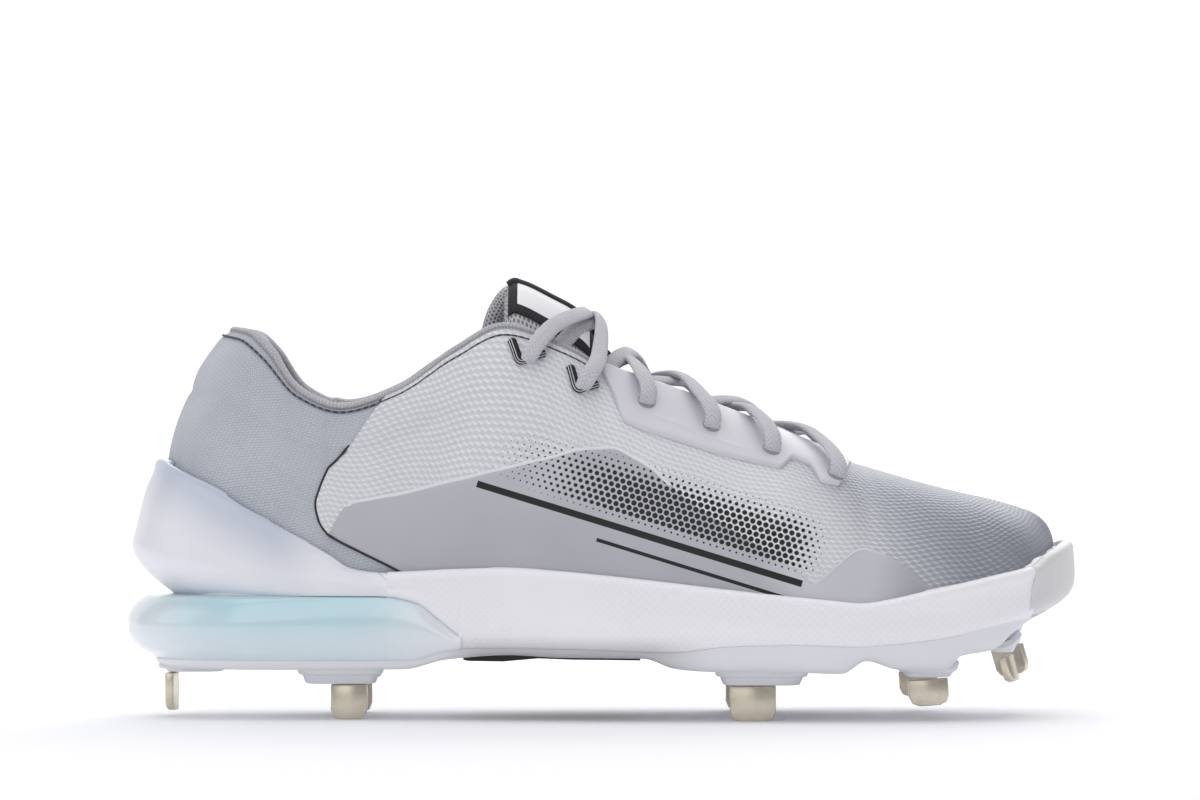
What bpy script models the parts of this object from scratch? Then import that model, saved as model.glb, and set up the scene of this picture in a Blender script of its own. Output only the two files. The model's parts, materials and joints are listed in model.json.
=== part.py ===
"""Baseball cleat, right shoe: a low upper on a sculpted sole that stands on metal studs.

+X points to the toe, -Y to the lateral side and +Z up. The floor is at z = 0.
A place w runs along each side: 0 toe tip, 1 throat front, 2 ankle, 3 heel back.
The lateral side has w below zero and the medial side has w above zero.
"""

import bmesh
import bpy
import numpy as np
from mathutils import Matrix

# Driving sizes, in metres
LENGTH = 0.300
BALL_WIDTH = 0.102
HEEL_WIDTH = 0.072
INSTEP_HEIGHT = 0.1240
HEEL_HEIGHT = 0.1226
SIDEWALL_HEIGHT = 0.0470
WALL = 0.0022
COLLAR_PADDING = 0.0042
INSOLE_THICKNESS = 0.0040
EYESTAY_THICKNESS = 0.0012
EYESTAY_LIFT = 0.0007
BUMPER_THICKNESS = 0.0028
LIP_BAND = 0.0031
LIP_STEP = 0.0009
ARCH_INSERT_THICKNESS = 0.0018
STUD_THICKNESS = 0.0026
TONGUE_THICKNESS = 0.0065
TONGUE_TAB_THICKNESS = 0.0012
LACE_WIDTH = 0.0044
LACE_THICKNESS = 0.0024
LACE_RISE = 0.0013
WEBBING_WIDTH = 0.0064
WEBBING_THICKNESS = 0.0010
CUP_EDGE = 0.0024
CUP_EDGE_GAIN = 0.0022
CUP_BELLY_RISE = 0.0075
CUP_BELLY_EASE = 0.0030
CUP_BELLY_DROP = 0.0020
CUP_INSET = 0.0012
CUP_FOOT = 0.0010
CUP_FOOT_GAIN = 0.0125
CUSHION_DEPTH = 0.0030
CUSHION_DEPTH_GAIN = 0.0065
ARCH_TOP_INSET = 0.0095
ARCH_FOOT_INSET = 0.0105
HOUSING_STEP = 0.0004
HOUSING_EDGE = 0.0010
CLEARANCE = 0.0003

# Columns and rows of the lofts
TOE_COLUMNS = 10
SIDE_COLUMNS = 16
HEEL_COLUMNS = 8
UPPER_ROWS = 11
EYESTAY_ROWS = 3
STRAND_SECTIONS = 6
DENSE = 24


def hermite(knots, values, slopes, at):
    """The cubic through each pair of neighbouring values that has the given slopes."""
    low = np.clip(np.searchsorted(knots, at, side="right") - 1, 0, len(knots) - 2)
    step = knots[low + 1] - knots[low]
    share = (np.clip(at, knots[0], knots[-1]) - knots[low]) / step
    if values.ndim > 1:
        step = step[..., None]
        share = share[..., None]
    left = (1 + 2 * share) * (1 - share) ** 2 * values[low]
    left = left + share * (1 - share) ** 2 * step * slopes[low]
    right = share**2 * (3 - 2 * share) * values[low + 1]
    return left + right + share**2 * (share - 1) * step * slopes[low + 1]


def even_slopes(knots, values):
    """Slopes at the knots that never carry the curve past the values."""
    rises = np.diff(values) / np.diff(knots)
    product = rises[:-1] * rises[1:]
    total = np.where(product > 0, rises[:-1] + rises[1:], 1)
    inner = np.where(product > 0, 2 * product / total, 0)
    return np.concatenate([rises[:1], inner, rises[-1:]])


class Table:
    """Hand-chosen rows under named columns, read along the first column."""

    def __init__(self, columns, *rows):
        self.columns = columns.split()
        self.rows = np.array(sorted(rows), float)

    def read(self, column, place):
        knots = self.rows[:, 0]
        values = self.rows[:, self.columns.index(column)]
        return hermite(knots, values, even_slopes(knots, values), np.asarray(place))


def smoothstep(low, high, value):
    """0 below low, 1 above high, with a soft start and end."""
    share = np.clip((value - low) / (high - low), 0, 1)
    return share * share * (3 - 2 * share)


def heel_part(x):
    """How much a section belongs to the heel: 0 from the middle forward, 1 at the heel."""
    return smoothstep(0.0, 0.2, -x)


def local_width(x):
    return BALL_WIDTH + (HEEL_WIDTH - BALL_WIDTH) * heel_part(x)


def local_height(x):
    return INSTEP_HEIGHT + (HEEL_HEIGHT - INSTEP_HEIGHT) * heel_part(x)


# Plan outlines: x as a share of the length, the two sides as shares of the local width
SOLE_PLAN = Table(
    "x lateral medial",
    (0.500, 0.049, 0.049),
    (0.490, -0.098, 0.196),
    (0.460, -0.265, 0.333),
    (0.407, -0.392, 0.426),
    (0.333, -0.475, 0.485),
    (0.270, -0.500, 0.500),
    (0.167, -0.495, 0.455),
    (0.083, -0.466, 0.397),
    (0.000, -0.426, 0.348),
    (-0.100, -0.448, 0.368),
    (-0.200, -0.514, 0.451),
    (-0.300, -0.500, 0.472),
    (-0.383, -0.472, 0.458),
    (-0.447, -0.361, 0.354),
    (-0.483, -0.208, 0.201),
    (-0.500, 0.000, 0.000),
)
LAST_PLAN = Table(
    "x lateral medial",
    (0.473, 0.059, 0.059),
    (0.464, -0.105, 0.215),
    (0.435, -0.268, 0.325),
    (0.385, -0.368, 0.396),
    (0.317, -0.434, 0.437),
    (0.250, -0.451, 0.438),
    (0.167, -0.444, 0.400),
    (0.083, -0.414, 0.348),
    (0.000, -0.376, 0.301),
    (-0.100, -0.398, 0.317),
    (-0.200, -0.450, 0.388),
    (-0.300, -0.438, 0.410),
    (-0.367, -0.403, 0.389),
    (-0.410, -0.306, 0.299),
    (-0.433, -0.174, 0.167),
    (-0.443, 0.000, 0.000),
)

# The top line: height as a share of the local height, half gap as a share of the ball width
RIM = Table(
    "x height half",
    (0.447, 0.521, 0.000),
    (0.417, 0.543, 0.000),
    (0.377, 0.565, 0.000),
    (0.333, 0.591, 0.000),
    (0.293, 0.619, 0.000),
    (0.263, 0.641, 0.000),
    (0.250, 0.653, 0.072),
    (0.227, 0.677, 0.100),
    (0.154, 0.749, 0.125),
    (0.076, 0.823, 0.150),
    (0.004, 0.886, 0.175),
    (-0.043, 0.948, 0.200),
    (-0.102, 1.000, 0.228),
    (-0.153, 0.943, 0.262),
    (-0.212, 0.845, 0.290),
    (-0.271, 0.800, 0.295),
    (-0.314, 0.842, 0.270),
    (-0.347, 0.946, 0.215),
    (-0.368, 0.991, 0.147),
    (-0.387, 1.000, 0.000),
)
RIDGE_ROWS = 6
LAST_THROAT_X = 0.280
ANKLE_X = -0.283

# The middle line of the top: how far it leans to the medial side, as a share of the ball width
MIDDLE_LINE = Table(
    "x lean",
    (-0.45, 0.000),
    (-0.30, 0.000),
    (-0.10, 0.018),
    (0.15, 0.034),
    (0.30, 0.044),
    (0.48, 0.059),
)

# How each rib of the upper leaves the sole and reaches the top line: angles in degrees
RIB = Table(
    "w spread start_reach rise end_reach",
    (0.00, 6, 0.45, 20, 0.45),
    (0.50, 9, 0.40, 5, 0.48),
    (1.00, 9, 0.38, 0, 0.45),
    (1.20, 8, 0.36, 18, 0.42),
    (1.33, 8, 0.35, 30, 0.40),
    (1.67, 5, 0.35, 58, 0.36),
    (2.00, 8, 0.40, 80, 0.35),
    (2.50, 16, 0.42, 62, 0.40),
    (3.00, 18, 0.42, 50, 0.40),
)

# Heights of the sole's lines, as shares of the sidewall height
TOP_EDGE = Table(
    "x height",
    (-0.500, 0.985),
    (-0.223, 0.989),
    (-0.150, 1.011),
    (-0.100, 1.019),
    (-0.043, 0.996),
    (0.037, 0.947),
    (0.117, 0.889),
    (0.187, 0.840),
    (0.233, 0.811),
    (0.267, 0.791),
    (0.300, 0.821),
    (0.333, 0.866),
    (0.373, 0.915),
    (0.413, 0.968),
    (0.447, 1.013),
    (0.467, 1.085),
    (0.500, 1.180),
)
FOOTBED = Table(
    "x height",
    (-0.443, 0.979),
    (-0.333, 0.968),
    (-0.200, 0.926),
    (-0.083, 0.840),
    (0.033, 0.745),
    (0.150, 0.638),
    (0.267, 0.574),
    (0.367, 0.628),
    (0.433, 0.745),
    (0.478, 0.862),
)
CREASE = Table(
    "x height",
    (-0.500, 0.391),
    (-0.200, 0.396),
    (-0.167, 0.447),
    (-0.133, 0.479),
    (-0.033, 0.474),
    (0.067, 0.457),
    (0.133, 0.500),
    (0.200, 0.511),
    (0.260, 0.500),
    (0.310, 0.521),
    (0.360, 0.560),
    (0.393, 0.606),
    (0.433, 0.660),
    (0.467, 0.691),
    (0.500, 0.723),
)
BOTTOM = Table(
    "x height",
    (-0.500, 0.345),
    (-0.432, 0.332),
    (-0.207, 0.338),
    (-0.162, 0.404),
    (-0.097, 0.434),
    (-0.044, 0.419),
    (0.039, 0.417),
    (0.073, 0.349),
    (0.108, 0.332),
    (0.200, 0.328),
    (0.248, 0.321),
    (0.273, 0.406),
    (0.307, 0.349),
    (0.360, 0.340),
    (0.380, 0.432),
    (0.420, 0.466),
    (0.440, 0.564),
    (0.465, 0.647),
    (0.500, 0.690),
)
CUSHION_TOP = Table(
    "x height",
    (-0.500, 0.823),
    (-0.233, 0.823),
    (-0.193, 0.777),
    (-0.167, 0.651),
    (-0.150, 0.564),
)
CUP_TOP = Table(
    "x height",
    (-0.443, 1.734),
    (-0.427, 1.670),
    (-0.390, 1.532),
    (-0.367, 1.426),
    (-0.313, 1.223),
    (-0.287, 1.128),
    (-0.260, 1.021),
    (-0.240, 0.996),
    (-0.223, 0.989),
)

# How far each level of the sole lies inside its widest outline, in metres
SOLE_INSET = Table(
    "w edge lip waist belly crease shoulder foot",
    (0.00, 0.0024, 0.0010, 0.0000, 0.0012, 0.0090, 0.0125, 0.0200),
    (0.50, 0.0016, 0.0004, 0.0018, 0.0004, 0.0022, 0.0040, 0.0085),
    (1.00, 0.0014, 0.0002, 0.0022, 0.0000, 0.0010, 0.0022, 0.0060),
    (1.50, 0.0014, 0.0002, 0.0024, 0.0002, 0.0014, 0.0026, 0.0060),
    (2.00, 0.0014, 0.0002, 0.0016, 0.0002, 0.0030, 0.0040, 0.0060),
    (2.60, 0.0014, 0.0002, 0.0016, 0.0002, 0.0060, 0.0066, 0.0090),
    (3.00, 0.0014, 0.0002, 0.0016, 0.0002, 0.0095, 0.0100, 0.0120),
)

# The tongue: its top over the throat edge's inner face and its drop to the sides as shares of the
# instep height, its half width as a share of the ball width, its depth as a share of its thickness
TONGUE = Table(
    "x over depth half drop",
    (0.287, -0.004, 0.6, 0.108, 0.020),
    (0.250, -0.007, 0.8, 0.137, 0.028),
    (0.220, -0.014, 0.9, 0.147, 0.032),
    (0.154, -0.001, 1.0, 0.190, 0.052),
    (0.076, 0.012, 1.0, 0.215, 0.076),
    (0.027, 0.027, 1.1, 0.222, 0.100),
    (0.000, 0.053, 1.6, 0.226, 0.146),
    (-0.020, 0.108, 2.3, 0.226, 0.232),
    (-0.060, 0.117, 1.8, 0.232, 0.232),
    (-0.090, 0.121, 1.1, 0.234, 0.222),
    (-0.103, 0.095, 0.4, 0.230, 0.200),
)

TONGUE_TAPER = 0.86

# The eyestay's lower edge, as the share up each rib, and the same for the two webbing loops:
# where each starts and ends along the side and up the rib
EYESTAY = Table(
    "w low",
    (0.972, 0.955),
    (1.000, 0.935),
    (1.030, 0.860),
    (1.045, 0.770),
    (1.062, 0.660),
    (1.090, 0.66),
    (1.113, 0.76),
    (1.140, 0.78),
    (1.170, 0.70),
    (1.240, 0.70),
    (1.360, 0.72),
    (1.450, 0.75),
    (1.474, 0.88),
    (1.490, 0.95),
)
WEBBING = {
    "eyelet_loop_front": (1.520, 0.62, 1.548, 0.90),
    "eyelet_loop_rear": (1.640, 0.64, 1.640, 0.92),
}

# The lace: the place and share of the hole each crossing starts from, the share of the length at
# which it crosses, its lift there as a share of the tongue's thickness, and where it ends
LACE = {
    "lace_crossing_1": (1.067, 0.84, 0.186, 0.91, 0.155),
    "lace_crossing_2": (1.183, 0.86, 0.130, 0.86, 0.098),
    "lace_crossing_3": (1.293, 0.88, 0.070, 0.80, 0.040),
    "lace_crossing_4": (1.410, 0.90, 0.018, 0.78, 0.002),
    "lace_crossing_5": (1.530, 0.92, -0.018, 0.80, -0.046),
}

# The studs and their housings: x as a share of the length, y as a share of the local width, the
# housing's size in metres, its foot as a share of the sidewall height, then the blade's place
# along x from the housing, its width, its reach as a share of the housing's height over the
# floor, its turn about the vertical and its lean to the front in degrees
STUDS = {
    "stud_heel_back": (-0.428, 0.000, 0.0230, 0.0210, 0.300, -0.0080, 0.0120, 0.86, 90, 0),
    "stud_heel_lateral": (-0.272, -0.290, 0.0270, 0.0170, 0.238, 0.0026, 0.0114, 1.00, 0, 0),
    "stud_heel_medial": (-0.272, 0.290, 0.0270, 0.0170, 0.238, 0.0026, 0.0114, 1.00, 180, 0),
    "stud_ball_lateral": (0.165, -0.325, 0.0290, 0.0190, 0.240, -0.0026, 0.0143, 1.00, 0, 0),
    "stud_ball_medial": (0.165, 0.315, 0.0290, 0.0190, 0.240, -0.0026, 0.0143, 1.00, 180, 0),
    "stud_fore_lateral": (0.338, -0.290, 0.0190, 0.0180, 0.290, 0.0000, 0.0124, 0.62, 0, 4),
    "stud_fore_medial": (0.338, 0.300, 0.0190, 0.0180, 0.290, 0.0000, 0.0124, 0.62, 180, 4),
    "stud_toe_lateral": (0.418, -0.150, 0.0120, 0.0160, 0.440, 0.0010, 0.0110, 0.40, 75, 14),
    "stud_toe_medial": (0.428, 0.210, 0.0120, 0.0160, 0.490, 0.0010, 0.0110, 0.42, 150, 16),
}
HOUSING_ROOT = 0.0016
HOUSING_TAPER = 0.0022
STUD_BEND = 0.0014
STUD_CORNER = 0.0030

# How far a strand of the lace ends inside the throat's far edge
STRAND_ROOM = 0.0048

# Where along its sides and up its ribs the upper's padding sets in
PADDED_PLACES = (1.70, 2.00)
PADDED_SHARES = (0.45, 0.90)

# The places between which the sole's sides bend round the heel
HEEL_BEND = (1.9, 3.0)

# The round wall of the cushion: the angles of its levels, and its middle as a share of its height
CUSHION_ANGLES = (66, 42, 18, -6, -30, -54, -74)
CUSHION_MIDDLE = 0.53

# The tongue's front, the start of its rise and its end as shares of the length, and its rows
TONGUE_FRONT = 0.287
TONGUE_RISE = 0.030
TONGUE_END = -0.103
TONGUE_FRONT_ROWS = 9
TONGUE_RISE_ROWS = 10

# Steps at which a direction is read off a surface, and the rungs of a webbing loop
PLACE_STEP = 0.01
RIB_SHARE = 0.04
WEBBING_RUNGS = 5

# Where the pieces of the sole end along its sides
ARCH_START = 1.40
BUMPER_END = 0.40
CUSHION_NOSE = 1.763
CUP_FRONT = 1.893
JOINT_STEP = 0.005


def rim_line():
    """The top line as dense points of x, half gap and height, with the place w of each."""
    x = RIM.rows[::-1, 0] * LENGTH
    half = RIM.rows[::-1, 2] * BALL_WIDTH
    height = RIM.rows[::-1, 1] * local_height(RIM.rows[::-1, 0])
    knots = np.concatenate([[0], np.cumsum(np.hypot(np.hypot(np.diff(x), np.diff(half)), np.diff(height)))])
    at = np.linspace(0, knots[-1], DENSE * len(knots))
    line = np.stack([hermite(knots, v, even_slopes(knots, v), at) for v in (x, half, height)], axis=1)
    throat = knots[RIDGE_ROWS - 1]
    ankle = np.interp(-ANKLE_X * LENGTH, -line[:, 0], at)
    return line, np.interp(at, [0, throat, ankle, knots[-1]], [0, 1, 2, 3])


def plan_sides(table):
    """Each side of a plan outline as dense points from toe to heel, with the place w of each."""
    rows = table.rows[::-1]
    x = rows[:, 0] * LENGTH
    width = local_width(rows[:, 0])
    lateral = np.stack([x, rows[:, 1] * width], axis=1)
    medial = np.stack([x, rows[:, 2] * width], axis=1)
    loop = np.vstack([lateral, medial[-2:0:-1]])
    around = np.vstack([loop, loop, loop, loop[:1]])
    knots = np.concatenate([[0], np.cumsum(np.hypot(*np.diff(around, axis=0).T))])
    slopes = np.gradient(around, knots, axis=0)
    count = len(loop)
    heel = count + len(rows) - 1
    sides = {}
    for side, first, last in ((-1, count, heel), (1, 2 * count, heel)):
        at = np.linspace(knots[first], knots[last], DENSE * len(rows))
        points = hermite(knots, around, slopes, at)
        travel = np.concatenate([[0], np.cumsum(np.hypot(*np.diff(points, axis=0).T))])
        throat = np.interp(-LAST_THROAT_X * LENGTH, -points[:, 0], travel)
        ankle = np.interp(-ANKLE_X * LENGTH, -points[:, 0], travel)
        places = np.interp(travel, [0, throat, ankle, travel[-1]], [0, 1, 2, 3])
        near = 1e-4
        tangent = hermite(knots, around, slopes, at + near) - hermite(knots, around, slopes, at - near)
        tangent *= -side / np.linalg.norm(tangent, axis=1)[:, None]
        outward = np.stack([-tangent[:, 1], tangent[:, 0]], axis=1) * -side
        sides[side] = (places, points, outward)
    return sides


RIM_LINE, RIM_PLACES = rim_line()
SOLE_SIDES = plan_sides(SOLE_PLAN)
LAST_SIDES = plan_sides(LAST_PLAN)


def on_outline(sides, w):
    """Plan point and outward direction of an outline at the signed place w."""
    found = []
    for part in (1, 2):
        both = [
            np.stack(
                [np.interp(np.abs(w), sides[side][0], sides[side][part][:, axis]) for axis in (0, 1)],
                axis=-1,
            )
            for side in (-1, 1)
        ]
        found.append(np.where(w[..., None] < 0, both[0], both[1]))
    point, outward = found
    outward = outward / np.linalg.norm(outward, axis=-1, keepdims=True)
    return point, outward


def rib_ends(w):
    """Where each rib of the upper starts on the footbed and where it ends on the top line."""
    plan, outward = on_outline(LAST_SIDES, w)
    floor = FOOTBED.read("height", plan[..., 0] / LENGTH) * SIDEWALL_HEIGHT + CLEARANCE
    start = np.concatenate([plan, floor[..., None]], axis=-1)
    x, half, height = (np.interp(np.abs(w), RIM_PLACES, RIM_LINE[:, axis]) for axis in range(3))
    half = np.where(np.abs(w) <= 1.0001, 0, half)
    lean = MIDDLE_LINE.read("lean", x / LENGTH) * BALL_WIDTH
    end = np.stack([x, lean + np.sign(w) * half, height], axis=-1)
    return start, end, outward


def skin_point(w, t):
    """A point of the upper's outer face: t runs from 0 on the footbed to 1 on the top line."""
    w, t = np.broadcast_arrays(np.asarray(w, float), np.asarray(t, float))
    w = np.where(w > 3, w - 6, np.where(w < -3, w + 6, w))
    start, end, outward = rib_ends(w)
    reach = np.linalg.norm(end - start, axis=-1, keepdims=True)
    place = np.abs(w)
    spread = np.radians(RIB.read("spread", place))[..., None]
    rise = np.radians(RIB.read("rise", place))[..., None]
    out = np.concatenate([outward, np.zeros_like(outward[..., :1])], axis=-1)
    up = np.array([0.0, 0.0, 1.0])
    inward = (end - start) * np.array([1.0, 1.0, 0.0])
    inward = inward / np.maximum(np.linalg.norm(inward, axis=-1, keepdims=True), 1e-9)
    leaving = up * np.cos(spread) + out * np.sin(spread)
    arriving = inward * np.cos(rise) + up * np.sin(rise)
    first = start + RIB.read("start_reach", place)[..., None] * reach * leaving
    second = end - RIB.read("end_reach", place)[..., None] * reach * arriving
    t = t[..., None]
    return (1 - t) ** 3 * start + 3 * t * (1 - t) ** 2 * first + 3 * t * t * (1 - t) * second + t**3 * end


def skin_normal(w, t):
    """The outward direction of the upper's outer face."""
    w, t = np.broadcast_arrays(np.asarray(w, float), np.asarray(t, float))
    step = 0.02

    def raw(place):
        level = np.minimum(t, 1 - 2 * step)
        along = skin_point(place + step, level) - skin_point(place - step, level)
        across = skin_point(place, np.minimum(t + step, 1)) - skin_point(place, np.maximum(t - step, 0))
        normal = np.cross(along, across)
        return normal / np.maximum(np.linalg.norm(normal, axis=-1, keepdims=True), 1e-12)

    normal = raw(w)
    on_ridge = ((t > 0.999) & (np.abs(w) <= 1.0001))[..., None]
    normal = np.where(on_ridge, normal + raw(-w), normal)
    return normal / np.linalg.norm(normal, axis=-1, keepdims=True)


def lifted(w, t, lift):
    """A point that stands off the upper's outer face by the lift, or inside it where that is below zero."""
    return skin_point(w, t) + skin_normal(w, t) * np.asarray(lift)[..., None]


def skin_share(w, height):
    """The share t at which the rib at w reaches a height."""
    shares = np.linspace(0, 1, 81)
    heights = skin_point(w[:, None], shares[None, :])[..., 2]
    return np.array([np.interp(h, row, shares) for h, row in zip(height, heights)])


def wall_thickness(w, t):
    """The upper's wall, thicker where the collar is padded."""
    padded = smoothstep(*PADDED_PLACES, np.abs(w)) * smoothstep(*PADDED_SHARES, t)
    return WALL + COLLAR_PADDING * padded


def side_columns():
    """The places along a side at which every piece has its sections, so that they nest."""
    regular = np.concatenate(
        [
            np.linspace(0, 1, TOE_COLUMNS + 1),
            np.linspace(1, 2, SIDE_COLUMNS + 1)[1:],
            np.linspace(2, 3, HEEL_COLUMNS + 1)[1:],
        ]
    )
    joints = [
        BUMPER_END,
        BUMPER_END + JOINT_STEP,
        CUSHION_NOSE - 2 * JOINT_STEP,
        CUSHION_NOSE - JOINT_STEP,
        CUSHION_NOSE,
        CUP_FRONT,
        CUP_FRONT + JOINT_STEP,
    ]
    return np.unique(np.concatenate([regular, joints]))


def material(name, colour, roughness, metallic=0.0):
    made = bpy.data.materials.new(name)
    made.use_nodes = True
    shader = made.node_tree.nodes["Principled BSDF"]
    shader.inputs["Base Color"].default_value = (*colour, 1)
    shader.inputs["Roughness"].default_value = roughness
    shader.inputs["Metallic"].default_value = metallic
    return made


def mesh_object(name, points, faces, finish):
    """One closed mesh from points and faces, its doubled points joined and its faces turned outwards."""
    mesh = bpy.data.meshes.new(name)
    mesh.from_pydata(np.asarray(points).tolist(), [], faces)
    work = bmesh.new()
    work.from_mesh(mesh)
    bmesh.ops.remove_doubles(work, verts=work.verts, dist=1e-6)
    bmesh.ops.dissolve_degenerate(work, edges=work.edges, dist=1e-7)
    bmesh.ops.recalc_face_normals(work, faces=work.faces)
    if work.calc_volume(signed=True) < 0:
        bmesh.ops.reverse_faces(work, faces=work.faces)
    work.to_mesh(mesh)
    work.free()
    mesh.materials.append(finish)
    mesh.shade_smooth()
    mesh.set_sharp_from_angle(angle=np.radians(40))
    piece = bpy.data.objects.new(name, mesh)
    COLLECTION.objects.link(piece)
    return piece


def cross_loft(name, lateral, medial, finish, open_toe=False, open_heel=False):
    """A solid through closed sections across the shoe, each a lateral and a medial run of levels."""
    sections = np.concatenate([lateral, medial[:, ::-1]], axis=1)
    return section_loft(name, sections, finish, open_toe, open_heel)


def section_loft(name, sections, finish, first_cap=True, last_cap=True):
    """A solid through closed sections, capped at the ends that don't close to an edge."""
    count, around = sections.shape[:2]
    faces = []
    for i in range(count - 1):
        for k in range(around):
            after = (k + 1) % around
            here, beyond = i * around, (i + 1) * around
            faces.append((here + k, here + after, beyond + after, beyond + k))
    if first_cap:
        faces.append(tuple(range(around)))
    if last_cap:
        faces.append(tuple((count - 1) * around + k for k in range(around)))
    return mesh_object(name, sections.reshape(-1, 3), faces, finish)


def skin_wall(name, places, low, high, inner, outer, rows, crown, finish):
    """A wall between two lifts of the upper's face, on both sides, joined where they meet."""
    shares = np.linspace(0, 1, rows + 1)
    t = low[:, None] + (high - low)[:, None] * shares[None, :]
    points = []
    for side in (-1, 1):
        w = np.broadcast_to(side * places[:, None], t.shape)
        outside = lifted(w, t, outer(w, t))
        inside = lifted(w, t, inner(w, t))
        along_rib = skin_point(w[:, -1:], high[:, None]) - skin_point(w[:, -1:], high[:, None] - RIB_SHARE)
        along_rib /= np.linalg.norm(along_rib, axis=-1, keepdims=True)
        middle = (outside[:, -1:] + inside[:, -1:]) / 2
        half = np.linalg.norm(outside[:, -1:] - inside[:, -1:], axis=-1, keepdims=True) / 2
        opened = (places > 1.0001)[:, None, None]
        middle = middle + along_rib * half * crown * opened
        points.append(np.concatenate([outside, middle, inside[:, ::-1]], axis=1))
    points = np.array(points)
    count = len(places)
    around = points.shape[2]
    faces = []

    def corner(side, i, k):
        return (side * count + i) * around + k

    for side in (0, 1):
        for i in range(count - 1):
            for k in range(around):
                on_ridge = places[i + 1] < 1.0001 and k in (rows, rows + 1)
                if on_ridge:
                    continue
                after = (k + 1) % around
                here = corner(side, i, k), corner(side, i, after)
                beyond = corner(side, i + 1, after), corner(side, i + 1, k)
                faces.append(here + beyond)
        for i, closed in ((0, places[0] < 1e-6), (count - 1, places[-1] > 2.9999)):
            if not closed:
                faces.append(tuple(corner(side, i, k) for k in range(around)))
    used = sorted({v for face in faces for v in face})
    renumber = {v: n for n, v in enumerate(used)}
    faces = [tuple(renumber[v] for v in face) for face in faces]
    return mesh_object(name, points.reshape(-1, 3)[used], faces, finish)


def inset_point(w, inset, height):
    """A point inside the sole's widest outline by the inset, at a height."""
    plan, outward = on_outline(SOLE_SIDES, w)
    plan = plan - outward * np.broadcast_to(inset, w.shape)[:, None]
    return np.concatenate([plan, np.broadcast_to(height, w.shape)[:, None]], axis=1)


def last_point(w, lift, height):
    """A point outside the last's bottom outline by the lift, at a height."""
    plan, outward = on_outline(LAST_SIDES, w)
    plan = plan + outward * np.broadcast_to(lift, w.shape)[:, None]
    return np.concatenate([plan, np.broadcast_to(height, w.shape)[:, None]], axis=1)


def sole_height(table, w):
    """The height of one of the sole's lines at the place w."""
    plan, _ = on_outline(SOLE_SIDES, w)
    return table.read("height", plan[:, 0] / LENGTH) * SIDEWALL_HEIGHT


def last_height(table, w):
    """The height of a line that follows the last's outline at the place w."""
    plan, _ = on_outline(LAST_SIDES, w)
    return table.read("height", plan[:, 0] / LENGTH) * SIDEWALL_HEIGHT


def both_sides(levels, places):
    """The same levels on the lateral and the medial side, as arrays of column, level and axis."""
    return [np.stack(levels(side * places), axis=1) for side in (-1, 1)]


def crease_ring(w):
    """The edge at which the midsole, or the cushion, meets the plate."""
    return inset_point(w, SOLE_INSET.read("crease", np.abs(w)), sole_height(CREASE, w))


def build_upper(finish):
    places = side_columns()
    everywhere = np.ones(len(places))
    return skin_wall(
        "upper",
        places,
        0 * everywhere,
        everywhere,
        lambda w, t: -wall_thickness(w, t),
        lambda w, t: 0 * t,
        UPPER_ROWS,
        0.8,
        finish,
    )


def build_insole(finish):
    places = side_columns()

    def levels(w):
        inside = -(WALL + CLEARANCE)
        bed = last_height(FOOTBED, w) + CLEARANCE
        lower = last_point(w, inside, bed)
        upper = last_point(w, inside, bed + INSOLE_THICKNESS * 0.7)
        top = last_point(w, inside - INSOLE_THICKNESS * 0.3, bed + INSOLE_THICKNESS)
        return [top, upper, lower]

    lateral, medial = both_sides(levels, places)
    return cross_loft("insole", lateral, medial, finish)


def against_skin(w, top):
    """Levels of a face that lies against the upper, at the upper's own rows, up to a height."""
    last_row = skin_share(w, top)
    clear = np.full(len(w), CLEARANCE)
    rows = range(1, UPPER_ROWS // 2 + 2)
    levels = [lifted(w, np.minimum(row / UPPER_ROWS, last_row), clear) for row in rows]
    return levels + [lifted(w, last_row, clear)]


def midsole_levels(w):
    """Levels of the midsole from the footbed over the lip and down its side."""
    place = np.abs(w)
    bed = last_height(FOOTBED, w)
    top = sole_height(TOP_EDGE, w)
    inset = {name: SOLE_INSET.read(name, place) for name in SOLE_INSET.columns[1:]}
    recess = np.where(place < BUMPER_END + JOINT_STEP / 2, BUMPER_THICKNESS + CLEARANCE, 0)
    crease = sole_height(CREASE, w)
    over_cushion = place > CUSHION_NOSE - 1.5 * JOINT_STEP
    foot = np.where(over_cushion, sole_height(CUSHION_TOP, w), crease) + CLEARANCE
    lip_foot = top - LIP_BAND
    waist = foot + (lip_foot - foot) * 0.55
    belly = foot + (lip_foot - foot) * 0.22
    front = [
        last_point(w, CLEARANCE, bed),
        *against_skin(w, top),
        inset_point(w, inset["edge"] + recess, top),
        inset_point(w, inset["lip"] + recess, top - LIP_BAND * 0.35),
        inset_point(w, inset["lip"] + recess, lip_foot),
        inset_point(w, inset["lip"] + LIP_STEP + recess, lip_foot - LIP_STEP * 0.7),
        inset_point(w, inset["waist"] + recess, waist),
        inset_point(w, inset["belly"] + recess, belly),
        inset_point(w, inset["crease"] + recess * 0.3, foot),
    ]
    shares = np.linspace(0, 1, len(front))
    heel = [last_point(w, 0.0, bed + (foot - bed) * share) for share in shares]
    in_cup = (place > CUP_FRONT + JOINT_STEP / 2)[:, None]
    return [np.where(in_cup, a, b) for a, b in zip(heel, front)]


def build_midsole(finish):
    lateral, medial = both_sides(midsole_levels, side_columns())
    return cross_loft("midsole", lateral, medial, finish)


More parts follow.
